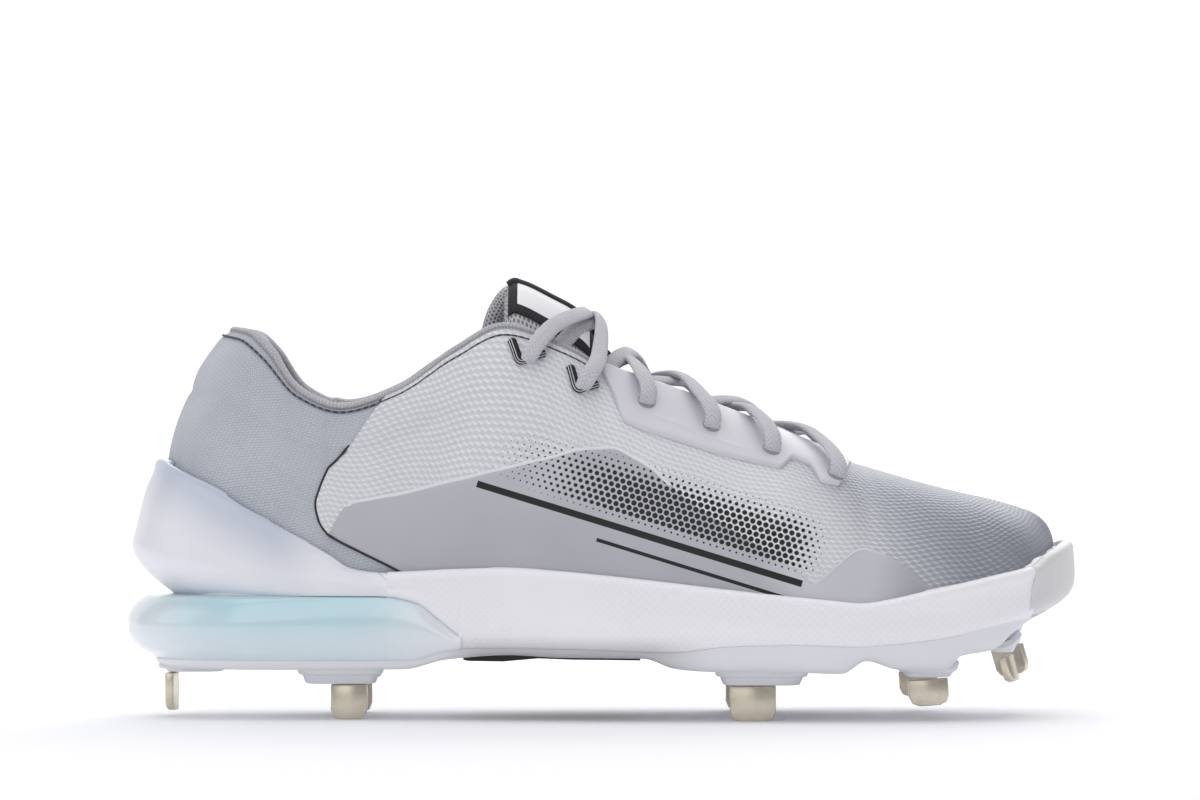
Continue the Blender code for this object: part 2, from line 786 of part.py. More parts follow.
def build_heel_cup(finish):
    places = side_columns()
    places = places[places > CUP_FRONT + JOINT_STEP / 2]
    w = np.concatenate([-places, places[-2::-1]])
    place = np.abs(w)
    around_heel = smoothstep(*HEEL_BEND, place)
    top = last_height(CUP_TOP, w)
    bed = last_height(FOOTBED, w)
    foot = sole_height(CUSHION_TOP, w) + CLEARANCE
    clear = np.full(len(w), CLEARANCE)
    inner = [last_point(w, CLEARANCE, foot), last_point(w, CLEARANCE, bed)]
    inner += against_skin(w, top)
    edge_thickness = CUP_EDGE + CUP_EDGE_GAIN * around_heel
    edge = lifted(w, skin_share(w, top - edge_thickness * 0.2), edge_thickness)
    to_side = 1 - around_heel
    belly = bed + (CUP_BELLY_RISE - CUP_BELLY_EASE * to_side) * around_heel - CUP_BELLY_DROP * to_side
    outer = [edge]
    foot_inset = CUP_FOOT + CUP_FOOT_GAIN * around_heel
    for share, bulge in ((0.72, 0.16), (0.45, 0.10), (0.2, 0.04)):
        level = belly + (top - belly) * share
        base = lifted(w, skin_share(w, level), clear)
        rim = inset_point(w, CUP_INSET, level)
        blend = (1 - share) ** 0.8 + bulge
        blend = np.clip(blend, 0, 1)
        thick = base + (rim - base) * blend
        outer.append(thick)
    outer.append(inset_point(w, CUP_INSET, belly))
    outer.append(inset_point(w, CUP_INSET + 0.25 * foot_inset, belly + (foot - belly) * 0.4))
    outer.append(inset_point(w, CUP_INSET + 0.7 * foot_inset, belly + (foot - belly) * 0.8))
    outer.append(inset_point(w, CUP_INSET + foot_inset, foot))
    return section_loft("heel_cup", np.stack(inner + outer, axis=1), finish)


def build_heel_cushion(finish):
    places = side_columns()
    places = places[places > CUSHION_NOSE - JOINT_STEP / 2]

    def levels(w):
        place = np.abs(w)
        around_heel = smoothstep(*HEEL_BEND, place)
        top = sole_height(CUSHION_TOP, w)
        low = sole_height(CREASE, w) + CLEARANCE
        over = midsole_levels(w)[-1]
        over[:, 2] = top
        under = crease_ring(w)
        under[:, 2] = low
        depth = CUSHION_DEPTH + CUSHION_DEPTH_GAIN * around_heel
        rings = [over]
        for angle in np.radians(CUSHION_ANGLES):
            height = low + (top - low) * (CUSHION_MIDDLE + (1 - CUSHION_MIDDLE) * np.sin(angle))
            rings.append(inset_point(w, depth * (1 - np.cos(angle)) ** 0.9, height))
        rings.append(under)
        return rings

    lateral, medial = both_sides(levels, places)
    return cross_loft("heel_cushion", lateral, medial, finish, open_toe=True)


def build_outsole(finish):
    def levels(w):
        place = np.abs(w)
        top = crease_ring(w)
        foot = sole_height(BOTTOM, w)
        depth = top[:, 2] - foot
        shoulder = inset_point(w, SOLE_INSET.read("shoulder", place), foot + depth * 0.45)
        low = SOLE_INSET.read("shoulder", place) * 0.45 + SOLE_INSET.read("foot", place) * 0.55
        lower = inset_point(w, low, foot + depth * 0.10)
        base = inset_point(w, SOLE_INSET.read("foot", place), foot)
        return [top, shoulder, lower, base]

    lateral, medial = both_sides(levels, side_columns())
    return cross_loft("outsole", lateral, medial, finish)


def build_toe_bumper(finish):
    places = side_columns()
    places = places[places < BUMPER_END + JOINT_STEP / 2]
    w = np.concatenate([-places[::-1], places[1:]])
    place = np.abs(w)
    top = sole_height(TOP_EDGE, w)
    foot = sole_height(CREASE, w) + CLEARANCE
    lip_foot = top - LIP_BAND
    inset = {name: SOLE_INSET.read(name, place) for name in SOLE_INSET.columns[1:]}
    waist = foot + (lip_foot - foot) * 0.55
    belly = foot + (lip_foot - foot) * 0.22
    outer = [
        inset_point(w, inset["edge"], top),
        inset_point(w, inset["lip"], top - LIP_BAND * 0.35),
        inset_point(w, inset["lip"], lip_foot),
        inset_point(w, inset["waist"], waist),
        inset_point(w, inset["belly"], belly),
        inset_point(w, inset["crease"], foot),
    ]
    back = BUMPER_THICKNESS
    inner = [
        inset_point(w, inset["crease"] + 0.3 * back - CLEARANCE, foot),
        inset_point(w, inset["belly"] + back, belly),
        inset_point(w, inset["waist"] + back, waist),
        inset_point(w, inset["lip"] + back, lip_foot),
        inset_point(w, inset["lip"] + back, top - LIP_BAND * 0.35),
        inset_point(w, inset["edge"] + back, top),
    ]
    return section_loft("toe_bumper", np.stack(outer + inner, axis=1), finish)


def build_arch_insert(finish):
    places = side_columns()
    places = places[(places > ARCH_START) & (places < CUSHION_NOSE - JOINT_STEP / 2)]

    def levels(w):
        foot = sole_height(BOTTOM, w) - CLEARANCE
        upper = inset_point(w, ARCH_TOP_INSET, foot)
        lower = inset_point(w, ARCH_FOOT_INSET, foot - ARCH_INSERT_THICKNESS)
        return [upper, lower]

    lateral, medial = both_sides(levels, places)
    return cross_loft("arch_insert", lateral, medial, finish, open_toe=True, open_heel=True)


def tongue_point(x, across, lift):
    """A point over the tongue's top face, at a share of the length and of its half width."""
    rim = RIM.read("height", x) * local_height(x)
    top = rim - WALL - CLEARANCE + TONGUE.read("over", x) * INSTEP_HEIGHT
    drop = TONGUE.read("drop", x) * INSTEP_HEIGHT
    half = TONGUE.read("half", x) * BALL_WIDTH
    middle = MIDDLE_LINE.read("lean", x) * BALL_WIDTH
    z = top - drop * across**2 + lift
    return np.stack(np.broadcast_arrays(x * LENGTH, middle + across * half, z), axis=-1)


TONGUE_X = np.concatenate(
    [
        np.linspace(TONGUE_FRONT, TONGUE_RISE, TONGUE_FRONT_ROWS)[:-1],
        np.linspace(TONGUE_RISE, TONGUE_END, TONGUE_RISE_ROWS),
    ]
)
TONGUE_ACROSS = np.sin(np.linspace(-1, 1, 11) * np.pi / 2)


def build_tongue(finish):
    depth = TONGUE.read("depth", TONGUE_X) * TONGUE_THICKNESS
    rings = [tongue_point(TONGUE_X, share, 0.0) for share in TONGUE_ACROSS]
    rings += [tongue_point(TONGUE_X, share * TONGUE_TAPER, -depth) for share in TONGUE_ACROSS[::-1]]
    return section_loft("tongue", np.stack(rings, axis=1), finish)


def build_tongue_tab(finish):
    x = TONGUE_X[-4:-1]
    across = TONGUE_ACROSS[2:-2]
    outer = [tongue_point(x, share, CLEARANCE + TONGUE_TAB_THICKNESS) for share in across]
    inner = [tongue_point(x, share, CLEARANCE) for share in across[::-1]]
    return section_loft("tongue_tab", np.stack(outer + inner, axis=1), finish)


def build_eyestay(finish):
    columns = side_columns()
    first, last = EYESTAY.rows[0, 0], EYESTAY.rows[-1, 0]
    places = np.unique(np.concatenate([columns[(columns > first) & (columns < last)], EYESTAY.rows[:, 0]]))
    return skin_wall(
        "eyestay",
        places,
        EYESTAY.read("low", places),
        np.ones(len(places)),
        lambda w, t: np.full(t.shape, EYESTAY_LIFT),
        lambda w, t: np.full(t.shape, EYESTAY_LIFT + EYESTAY_THICKNESS),
        EYESTAY_ROWS,
        0.5,
        finish,
    )


def build_webbing(name, side, w_low, low, w_high, high, finish):
    """A flat band up the upper's face, its width laid along the side."""
    t = np.linspace(low, high, WEBBING_RUNGS)
    middle = side * np.linspace(w_low, w_high, WEBBING_RUNGS)
    ahead = skin_point(middle + PLACE_STEP, t)
    behind = skin_point(middle - PLACE_STEP, t)
    half = WEBBING_WIDTH * PLACE_STEP / np.linalg.norm(ahead - behind, axis=1)
    outer = np.full(WEBBING_RUNGS, EYESTAY_LIFT + WEBBING_THICKNESS)
    inner = np.full(WEBBING_RUNGS, EYESTAY_LIFT)
    rings = [
        lifted(middle - half, t, outer),
        lifted(middle, t, outer),
        lifted(middle + half, t, outer),
        lifted(middle + half, t, inner),
        lifted(middle, t, inner),
        lifted(middle - half, t, inner),
    ]
    return section_loft(name, np.stack(rings, axis=1), finish)


def tongue_normal(x, across):
    step = 0.003
    along = tongue_point(x + step, across, 0.0) - tongue_point(x - step, across, 0.0)
    side = tongue_point(x, across + step, 0.0) - tongue_point(x, across - step, 0.0)
    normal = np.cross(along, side)
    return normal / np.linalg.norm(normal)


def strand_path(side, w, t, x, lift, x_end):
    """A strand's middle line and its upward direction, over the eyestay and across the tongue."""
    over = EYESTAY_LIFT + EYESTAY_THICKNESS + LACE_RISE + LACE_THICKNESS / 2
    hole = np.array([side * w]), np.array([t])
    start = lifted(*hole, np.array([over]))[0]
    up = tongue_normal(x, 0.0)
    crest = tongue_point(x, 0.0, 0.0) + up * lift * TONGUE_THICKNESS
    room = RIM.read("half", x_end) * BALL_WIDTH - STRAND_ROOM
    far = -side * room / (TONGUE.read("half", x_end) * BALL_WIDTH)
    end_up = tongue_normal(x_end, far)
    end = tongue_point(x_end, far, 0.0) + end_up * (2 * CLEARANCE + LACE_THICKNESS / 2)
    edge_x = start[0] * 0.45 + crest[0] * 0.55
    edge_w = np.interp(-edge_x, -RIM_LINE[:, 0], RIM_PLACES)
    edge_place = np.array([side * edge_w]), np.array([0.985])
    edge = lifted(*edge_place, np.array([over]))[0]
    knots = np.array([0.0, 0.34, 0.66, 1.0])
    points = np.array([start, edge, crest, end])
    ups = np.array([skin_normal(*hole)[0], skin_normal(*edge_place)[0], up, end_up])
    at = np.linspace(0, 1, STRAND_SECTIONS)
    path = np.stack([hermite(knots, v, even_slopes(knots, v), at) for v in points.T], axis=1)
    return path, np.stack([np.interp(at, knots, v) for v in ups.T], axis=1)


def build_strand(name, path, up, finish):
    """An oval lace along a path."""
    along = np.gradient(path, axis=0)
    flat = np.cross(along, up)
    flat /= np.linalg.norm(flat, axis=1, keepdims=True)
    up = np.cross(flat, along)
    up /= np.linalg.norm(up, axis=1, keepdims=True)
    rings = []
    for turn in np.radians(np.arange(6) * 60):
        rings.append(path + flat * np.cos(turn) * LACE_WIDTH / 2 + up * np.sin(turn) * LACE_THICKNESS / 2)
    return section_loft(name, np.stack(rings, axis=1), finish)


def build_crossing(name, row, finish):
    """Two strands joined where they cross over the tongue."""
    crossing = build_strand(name, *strand_path(-1, *row), finish)
    other = build_strand(name + "_other", *strand_path(1, *row), finish)
    keep_as_helper(other)
    join_to(crossing, other)




def keep_as_helper(block):
    """Moves a solid out of the model, so that only a Boolean uses it."""
    COLLECTION.objects.unlink(block)
    HELPERS.objects.link(block)
    block.hide_render = True
    block.display_type = "WIRE"


def join_to(body, block):
    union = body.modifiers.new(block.name, "BOOLEAN")
    union.operation = "UNION"
    union.solver = "MANIFOLD"
    union.object = block


def build_housing(name, x, y, length, width, foot, plate):
    """The tapered block that carries a stud, joined to the plate."""
    base = BOTTOM.read("height", x) * SIDEWALL_HEIGHT
    sections = []
    for height, inset in (
        (base + HOUSING_ROOT, 0.0),
        (base - HOUSING_STEP, 0.0),
        (foot + HOUSING_EDGE, HOUSING_TAPER),
        (foot, HOUSING_TAPER * 1.5),
    ):
        turns = np.radians(np.arange(12) * 30 + 15)
        run = np.sign(np.cos(turns)) * np.abs(np.cos(turns)) ** 0.45
        side = np.sign(np.sin(turns)) * np.abs(np.sin(turns)) ** 0.45
        ring = np.stack(
            [
                x * LENGTH + run * (length / 2 - inset),
                y * local_width(x) + side * (width / 2 - inset),
                np.full(12, height),
            ],
            axis=1,
        )
        sections.append(ring)
    block = section_loft(name.replace("stud", "housing"), np.array(sections), plate.data.materials[0])
    keep_as_helper(block)
    join_to(plate, block)


def build_stud(name, x, y, width, top, reach, turn, lean, finish):
    """A bent metal blade with rounded lower corners, held under its housing."""
    run = width / 2
    corner = STUD_CORNER
    sections = []
    for place, lift in (
        (-run, corner),
        (-run + corner * 0.3, corner * 0.3),
        (-run + corner, 0.0),
        (0.0, 0.0),
        (run - corner, 0.0),
        (run - corner * 0.3, corner * 0.3),
        (run, corner),
    ):
        bend = -STUD_BEND * (1 - abs(place) / run)
        front = bend - STUD_THICKNESS / 2
        back = bend + STUD_THICKNESS / 2
        low = -reach + lift
        sections.append([(place, front, 0), (place, front, low), (place, back, low), (place, back, 0)])
    blade = section_loft(name, np.array(sections), finish)
    tilt = np.radians(lean)
    facing = np.radians(turn)
    ahead = abs(np.cos(facing)) * run + abs(np.sin(facing)) * (STUD_THICKNESS / 2 + STUD_BEND)
    place = Matrix.Translation((x, y, top - ahead * np.sin(tilt)))
    blade.matrix_world = place @ Matrix.Rotation(-tilt, 4, "Y") @ Matrix.Rotation(facing, 4, "Z")


def build_studs(finish, plate):
    for name, row in STUDS.items():
        x, y, length, width, foot, shift, blade_width, reach, turn, lean = row
        height = foot * SIDEWALL_HEIGHT
        build_housing(name, x, y, length, width, height, plate)
        top = height - CLEARANCE
        build_stud(
            name, x * LENGTH + shift, y * local_width(x), blade_width, top, top * reach, turn, lean, finish
        )


for startup in list(bpy.data.objects):
    bpy.data.objects.remove(startup)
COLLECTION = bpy.data.collections.new("baseball_cleat")
bpy.context.scene.collection.children.link(COLLECTION)
HELPERS = bpy.data.collections.new("joined_blocks")
bpy.context.scene.collection.children.link(HELPERS)

build_upper(material("skin", (0.62, 0.63, 0.66), 0.5))
build_insole(material("liner", (0.3, 0.3, 0.33), 0.9))
build_midsole(material("foam", (0.9, 0.9, 0.93), 0.5))
build_heel_cup(material("cup", (0.8, 0.8, 0.86), 0.35))
build_heel_cushion(material("cushion", (0.6, 0.75, 0.8), 0.2))
knit = material("knit", (0.5, 0.5, 0.53), 0.9)
build_tongue(knit)
build_tongue_tab(material("tab", (0.8, 0.8, 0.82), 0.7))
build_eyestay(material("stay", (0.55, 0.55, 0.58), 0.5))
webbing = material("webbing", (0.03, 0.03, 0.035), 0.7)
for name, row in WEBBING.items():
    build_webbing(name + "_lateral", -1, *row, webbing)
    build_webbing(name + "_medial", 1, *row, webbing)
lace = material("lace", (0.58, 0.57, 0.6), 0.8)
for name, row in LACE.items():
    build_crossing(name, row, lace)
plate = build_outsole(material("plate", (0.85, 0.86, 0.9), 0.3))
build_studs(material("nickel", (0.8, 0.76, 0.68), 0.25, 1.0), plate)
build_arch_insert(material("arch", (0.02, 0.02, 0.025), 0.6))
build_toe_bumper(material("bumper", (0.9, 0.9, 0.94), 0.4))
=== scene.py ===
"""The looks of the baseball cleat: every surface, seam and lace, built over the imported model.

+X points to the toe, -Y to the lateral side and +Z up, in metres.
A place w runs along each side: 0 toe tip, 1 throat front, 2 ankle, 3 heel back. It is below zero
on the lateral side. A share t runs up each rib of the upper: 0 at the footbed, 1 at the top line.
"""

import json

import bmesh
import bpy
import numpy as np
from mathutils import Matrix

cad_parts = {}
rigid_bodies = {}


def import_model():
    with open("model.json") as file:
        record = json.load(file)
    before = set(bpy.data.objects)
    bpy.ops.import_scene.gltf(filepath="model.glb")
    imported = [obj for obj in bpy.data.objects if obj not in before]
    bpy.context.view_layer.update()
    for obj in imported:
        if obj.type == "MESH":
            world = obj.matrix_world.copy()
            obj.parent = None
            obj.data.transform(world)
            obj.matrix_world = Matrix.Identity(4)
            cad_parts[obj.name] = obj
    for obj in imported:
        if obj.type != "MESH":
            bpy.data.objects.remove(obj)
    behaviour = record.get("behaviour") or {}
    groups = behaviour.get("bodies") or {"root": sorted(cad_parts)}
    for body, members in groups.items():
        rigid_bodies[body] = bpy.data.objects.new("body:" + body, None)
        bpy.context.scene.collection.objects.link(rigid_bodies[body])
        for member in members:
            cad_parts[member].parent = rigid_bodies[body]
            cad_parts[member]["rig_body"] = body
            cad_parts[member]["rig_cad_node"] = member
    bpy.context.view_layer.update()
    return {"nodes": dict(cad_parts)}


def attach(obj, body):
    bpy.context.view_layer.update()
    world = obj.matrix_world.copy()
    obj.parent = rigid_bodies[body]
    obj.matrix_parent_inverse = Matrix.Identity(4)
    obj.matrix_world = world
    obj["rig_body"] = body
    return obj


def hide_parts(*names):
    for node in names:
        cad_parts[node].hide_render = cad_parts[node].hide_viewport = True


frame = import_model()

# Camera
# A long lens at the height of the laces looks straight at the lateral side, as a catalogue
# photograph does. It takes in the one shoe with the room that the photograph leaves round it.
CAMERA_DISTANCE = 1.9
CAMERA_HEIGHT = 0.0997
CAMERA_SHIFT_X = -0.0006
FIELD_WIDTH = 0.3793
SENSOR_WIDTH = 36.0

camera_data = bpy.data.cameras.new("camera")
camera_data.sensor_width = SENSOR_WIDTH
camera_data.lens = SENSOR_WIDTH * CAMERA_DISTANCE / FIELD_WIDTH
camera = bpy.data.objects.new("camera", camera_data)
bpy.context.scene.collection.objects.link(camera)
camera.location = (CAMERA_SHIFT_X, -CAMERA_DISTANCE, CAMERA_HEIGHT)
camera.rotation_euler = (np.radians(90), 0, 0)
bpy.context.scene.camera = camera
bpy.context.scene.view_settings.view_transform = "Standard"


# Studio
# A white paper sweep lies under the shoe and rises behind it. Large soft lamps stand over it, in
# front of it and at both ends, so that only a faint shadow is left under the sole.
SWEEP_FRONT = -3.2
SWEEP_BACK = 1.6
SWEEP_RADIUS = 0.9
SWEEP_TOP = 3.0
SWEEP_HALF_WIDTH = 3.5
PAPER_GLOW = 0.48
AIR_GLOW = 0.30
LAMPS = {
    "top_lamp": ((0.0, -0.15, 1.5), (0, 0, 0), 1.7, 12.0),
    "front_lamp": ((-0.5, -1.6, 0.9), (62, 0, -17), 1.3, 6.2),
    "toe_lamp": ((1.5, -0.5, 0.6), (70, 0, 75), 1.0, 1.2),
    "heel_lamp": ((-1.5, -0.4, 0.7), (68, 0, -78), 1.0, 2.4),
    "back_lamp": ((0.2, 1.2, 1.0), (-55, 0, 0), 1.2, 8.0),
}


def colour(red, green, blue):
    """A display colour, given in steps of 0 to 255, as the linear values that a shader takes."""
    shown = np.array([red, green, blue]) / 255
    linear = np.where(shown <= 0.04045, shown / 12.92, ((shown + 0.055) / 1.055) ** 2.4)
    return (*linear.tolist(), 1.0)


class Term:
    """A shader socket on which Python's operators add Math nodes."""

    def __init__(self, finish, socket):
        self.finish = finish
        self.socket = socket

    def __add__(self, other):
        return self.finish.maths("ADD", self, other)

    def __sub__(self, other):
        return self.finish.maths("SUBTRACT", self, other)

    def __rsub__(self, other):
        return self.finish.maths("SUBTRACT", other, self)

    def __mul__(self, other):
        return self.finish.maths("MULTIPLY", self, other)

    def __truediv__(self, other):
        return self.finish.maths("DIVIDE", self, other)

    def __lt__(self, other):
        return self.finish.maths("LESS_THAN", self, other)

    def __gt__(self, other):
        return self.finish.maths("GREATER_THAN", self, other)

    def __abs__(self):
        return self.finish.maths("ABSOLUTE", self)

    __radd__ = __add__
    __rmul__ = __mul__


class Finish:
    """One material: a Principled shader, and the nodes that feed it."""

    def __init__(self, name, base, roughness, **constants):
        self.material = bpy.data.materials.new(name)
        self.material.use_nodes = True
        self.tree = self.material.node_tree
        self.shader = self.tree.nodes["Principled BSDF"]
        self.feed(base_color=base, roughness=roughness, **constants)

    def feed(self, **values):
        """Sets or links sockets of the shader, by their names in lower case."""
        for name, value in values.items():
            socket = self.shader.inputs[name.replace("_", " ").title().replace("Ior", "IOR")]
            self.put(socket, value)

    def put(self, socket, value):
        if isinstance(value, Term):
            self.tree.links.new(value.socket, socket)
        else:
            socket.default_value = value

    def node(self, kind, settings=None, sockets=None, output=0):
        """Adds a node: its settings first, then the values or links of its sockets."""
        made = self.tree.nodes.new(kind)
        for name, value in (settings or {}).items():
            setattr(made, name, value)
        for name, value in (sockets or {}).items():
            self.put(made.inputs[name], value)
        return Term(self, made.outputs[output])

    def maths(self, operation, *terms):
        return self.node("ShaderNodeMath", {"operation": operation}, dict(enumerate(terms)))

    def fraction(self, term):
        return self.maths("FRACT", term)

    def whole(self, term):
        return self.maths("FLOOR", term)

    def sine(self, term):
        return self.maths("SINE", term)

    def most(self, one, other):
        return self.maths("MAXIMUM", one, other)

    def fade(self, low, high, term):
        """0 at low, 1 at high, with a soft start and end."""
        sockets = {"Value": term, "From Min": low, "From Max": high}
        return self.node("ShaderNodeMapRange", {"interpolation_type": "SMOOTHSTEP"}, sockets)

    def blend(self, share, first, second):
        """A colour between two, by a share."""
        settings = {"data_type": "RGBA"}
        return self.node("ShaderNodeMix", settings, {0: share, 6: first, 7: second}, 2)

    def split(self, vector):
        made = self.node("ShaderNodeSeparateXYZ", None, {0: vector}).socket.node
        return [Term(self, output) for output in made.outputs]

    def place(self):
        """The place on the object, as x, y and z."""
        return self.split(self.node("ShaderNodeTexCoord", output=3))

    def surface(self):
        """The place along and across the piece's own surface, in metres."""
        return self.split(self.node("ShaderNodeUVMap", {"uv_map": "surface"}))[:2]

    def vector(self, x, y, z=0.0):
        return self.node("ShaderNodeCombineXYZ", None, {0: x, 1: y, 2: z})

    def noise(self, size, detail=3.0, vector=None):
        """Soft random values about one half, with blots of the given size in metres."""
        spot = vector or self.node("ShaderNodeTexCoord", output=3)
        sockets = {"Vector": spot, "Scale": 1 / size, "Detail": detail}
        return self.node("ShaderNodeTexNoise", None, sockets)

    def raise_by(self, height, depth, strength=1.0):
        """Gives the shader the relief of a height, in metres of depth."""
        sockets = {"Height": height, "Distance": depth, "Strength": strength}
        self.feed(normal=self.node("ShaderNodeBump", None, sockets))


def grid_faces(rows, columns, close_rows=False, close_columns=False):
    """The quads of a grid of points, as indices, closed round either way where asked."""
    i = np.arange(rows if close_rows else rows - 1)[:, None]
    k = np.arange(columns if close_columns else columns - 1)[None, :]
    below, after = (i + 1) % rows, (k + 1) % columns
    quads = [i * columns + k, below * columns + k, below * columns + after, i * columns + after]
    return np.stack(np.broadcast_arrays(*quads), axis=-1).reshape(-1, 4)


def piece_of(name, points, faces, spots=None, closed=True):
    """A mesh from arrays of points and of faces, its doubled points joined and its faces outwards.
    spots gives each point's place on the surface, which each corner keeps as the UV map."""
    mesh = bpy.data.meshes.new(name)
    mesh.from_pydata(np.asarray(points).reshape(-1, 3), [], faces)
    if spots is not None:
        corners = np.empty(len(mesh.loops), np.int32)
        mesh.loops.foreach_get("vertex_index", corners)
        layer = mesh.uv_layers.new(name="surface")
        layer.data.foreach_set("uv", np.asarray(spots, np.float32).reshape(-1, 2)[corners].ravel())
    work = bmesh.new()
    work.from_mesh(mesh)
    bmesh.ops.remove_doubles(work, verts=work.verts, dist=2e-6)
    bmesh.ops.dissolve_degenerate(work, edges=work.edges, dist=1e-7)
    bmesh.ops.recalc_face_normals(work, faces=work.faces)
    if closed and work.calc_volume(signed=True) < 0:
        bmesh.ops.reverse_faces(work, faces=work.faces)
    work.to_mesh(mesh)
    work.free()
    mesh.shade_smooth()
    piece = bpy.data.objects.new(name, mesh)
    bpy.context.scene.collection.objects.link(piece)
    return piece


def dress(piece, finish, replaced=()):
    """Gives a piece its finish, fixes it to the shoe, and hides the CAD nodes that it stands for."""
    piece.data.materials.clear()
    piece.data.materials.append(finish.material)
    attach(piece, "root")
    if replaced:
        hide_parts(*replaced)


curve = np.linspace(0, np.pi / 2, 24)
sweep_y = [SWEEP_FRONT, *(SWEEP_BACK + SWEEP_RADIUS * np.sin(curve)), SWEEP_BACK + SWEEP_RADIUS]
sweep_z = [0.0, *(SWEEP_RADIUS * (1 - np.cos(curve))), SWEEP_TOP]
sweep_ends = (-SWEEP_HALF_WIDTH, SWEEP_HALF_WIDTH)
sweep_points = [[(x, y, z) for y, z in zip(sweep_y, sweep_z)] for x in sweep_ends]
sweep = piece_of("paper_sweep", sweep_points, grid_faces(2, len(sweep_y)), closed=False)
paper = Finish("paper", colour(250, 250, 252), 0.9, specular_ior_level=0.1, emission_strength=PAPER_GLOW)
_, y, _ = paper.place()
behind = paper.fade(0.1, 0.9, y)
paper.feed(emission_color=paper.blend(behind, colour(80, 80, 82), colour(253, 253, 255)))
sweep.data.materials.append(paper.material)
for name, (spot, turn, width, power) in LAMPS.items():
    lamp_data = bpy.data.lights.new(name, "AREA")
    lamp_data.shape = "SQUARE"
    lamp_data.size = width
    lamp_data.energy = power
    lamp = bpy.data.objects.new(name, lamp_data)
    lamp.location = spot
    lamp.rotation_euler = np.radians(turn)
    bpy.context.scene.collection.objects.link(lamp)
world = bpy.data.worlds.new("studio_air")
bpy.context.scene.world = world
world.use_nodes = True
air = world.node_tree.nodes["Background"].inputs
air["Color"].default_value = colour(252, 252, 255)
air["Strength"].default_value = AIR_GLOW


# Upper
# The upper is a textile bootie drawn over the last and closed under the insole. A thin film with
# an embossed grain is fused over it from the toe to the ankle, and leaves the knitted heel bare.
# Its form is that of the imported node, from the same sizes, at a finer grid.
LENGTH = 0.300
BALL_WIDTH = 0.102
HEEL_WIDTH = 0.072
INSTEP_HEIGHT = 0.1240
HEEL_HEIGHT = 0.1226
SIDEWALL_HEIGHT = 0.0470
WALL = 0.0022
COLLAR_PADDING = 0.0042
EYESTAY_THICKNESS = 0.0012
EYESTAY_LIFT = 0.0007
BUMPER_THICKNESS = 0.0028
LIP_BAND = 0.0031
LIP_STEP = 0.0009
TONGUE_THICKNESS = 0.0065
TONGUE_TAB_THICKNESS = 0.0012
CLEARANCE = 0.0003
# The place w just past which the top line opens into the throat
THROAT_FRONT = 1.0001


def hermite(knots, values, slopes, at):
    """The cubic through each pair of neighbouring values that has the given slopes."""
    low = np.clip(np.searchsorted(knots, at, side="right") - 1, 0, len(knots) - 2)
    step = knots[low + 1] - knots[low]
    share = (np.clip(at, knots[0], knots[-1]) - knots[low]) / step
    if values.ndim > 1:
        step = step[..., None]
        share = share[..., None]
    left = (1 + 2 * share) * (1 - share) ** 2 * values[low]
    left = left + share * (1 - share) ** 2 * step * slopes[low]
    right = share**2 * (3 - 2 * share) * values[low + 1]
    return left + right + share**2 * (share - 1) * step * slopes[low + 1]


def even_slopes(knots, values):
    """Slopes at the knots that never carry the curve past the values."""
    rises = np.diff(values) / np.diff(knots)
    product = rises[:-1] * rises[1:]
    total = np.where(product > 0, rises[:-1] + rises[1:], 1)
    inner = np.where(product > 0, 2 * product / total, 0)
    return np.concatenate([rises[:1], inner, rises[-1:]])


class Table:
    """Listed rows under named columns, read along the first column."""

    def __init__(self, columns, *rows):
        self.columns = columns.split()
        self.rows = np.array(sorted(rows), float)

    def read(self, column, place):
        knots = self.rows[:, 0]
        values = self.rows[:, self.columns.index(column)]
        return hermite(knots, values, even_slopes(knots, values), np.asarray(place))


def travelled(steps):
    """How far along a line each of its points lies, from the lengths of its steps."""
    return np.concatenate([[0], np.cumsum(steps)])


def unit(vectors):
    """The vectors at length one."""
    return vectors / np.maximum(np.linalg.norm(vectors, axis=-1, keepdims=True), 1e-9)


def smoothstep(low, high, value):
    """0 below low, 1 above high, with a soft start and end."""
    share = np.clip((value - low) / (high - low), 0, 1)
    return share * share * (3 - 2 * share)


def heel_part(x):
    """How much a section belongs to the heel: 0 from the middle forward, 1 at the heel."""
    return smoothstep(0.0, 0.2, -x)


def local_width(x):
    return BALL_WIDTH + (HEEL_WIDTH - BALL_WIDTH) * heel_part(x)


def local_height(x):
    return INSTEP_HEIGHT + (HEEL_HEIGHT - INSTEP_HEIGHT) * heel_part(x)


# Plan outlines: x as a share of the length, the two sides as shares of the local width
SOLE_PLAN = Table(
    "x lateral medial",
    (0.500, 0.049, 0.049),
    (0.490, -0.098, 0.196),
    (0.460, -0.265, 0.333),
    (0.407, -0.392, 0.426),
    (0.333, -0.475, 0.485),
    (0.270, -0.500, 0.500),
    (0.167, -0.495, 0.455),
    (0.083, -0.466, 0.397),
    (0.000, -0.426, 0.348),
    (-0.100, -0.448, 0.368),
    (-0.200, -0.514, 0.451),
    (-0.300, -0.500, 0.472),
    (-0.383, -0.472, 0.458),
    (-0.447, -0.361, 0.354),
    (-0.483, -0.208, 0.201),
    (-0.500, 0.000, 0.000),
)
LAST_PLAN = Table(
    "x lateral medial",
    (0.473, 0.059, 0.059),
    (0.464, -0.105, 0.215),
    (0.435, -0.268, 0.325),
    (0.385, -0.368, 0.396),
    (0.317, -0.434, 0.437),
    (0.250, -0.451, 0.438),
    (0.167, -0.444, 0.400),
    (0.083, -0.414, 0.348),
    (0.000, -0.376, 0.301),
    (-0.100, -0.398, 0.317),
    (-0.200, -0.450, 0.388),
    (-0.300, -0.438, 0.410),
    (-0.367, -0.403, 0.389),
    (-0.410, -0.306, 0.299),
    (-0.433, -0.174, 0.167),
    (-0.443, 0.000, 0.000),
)

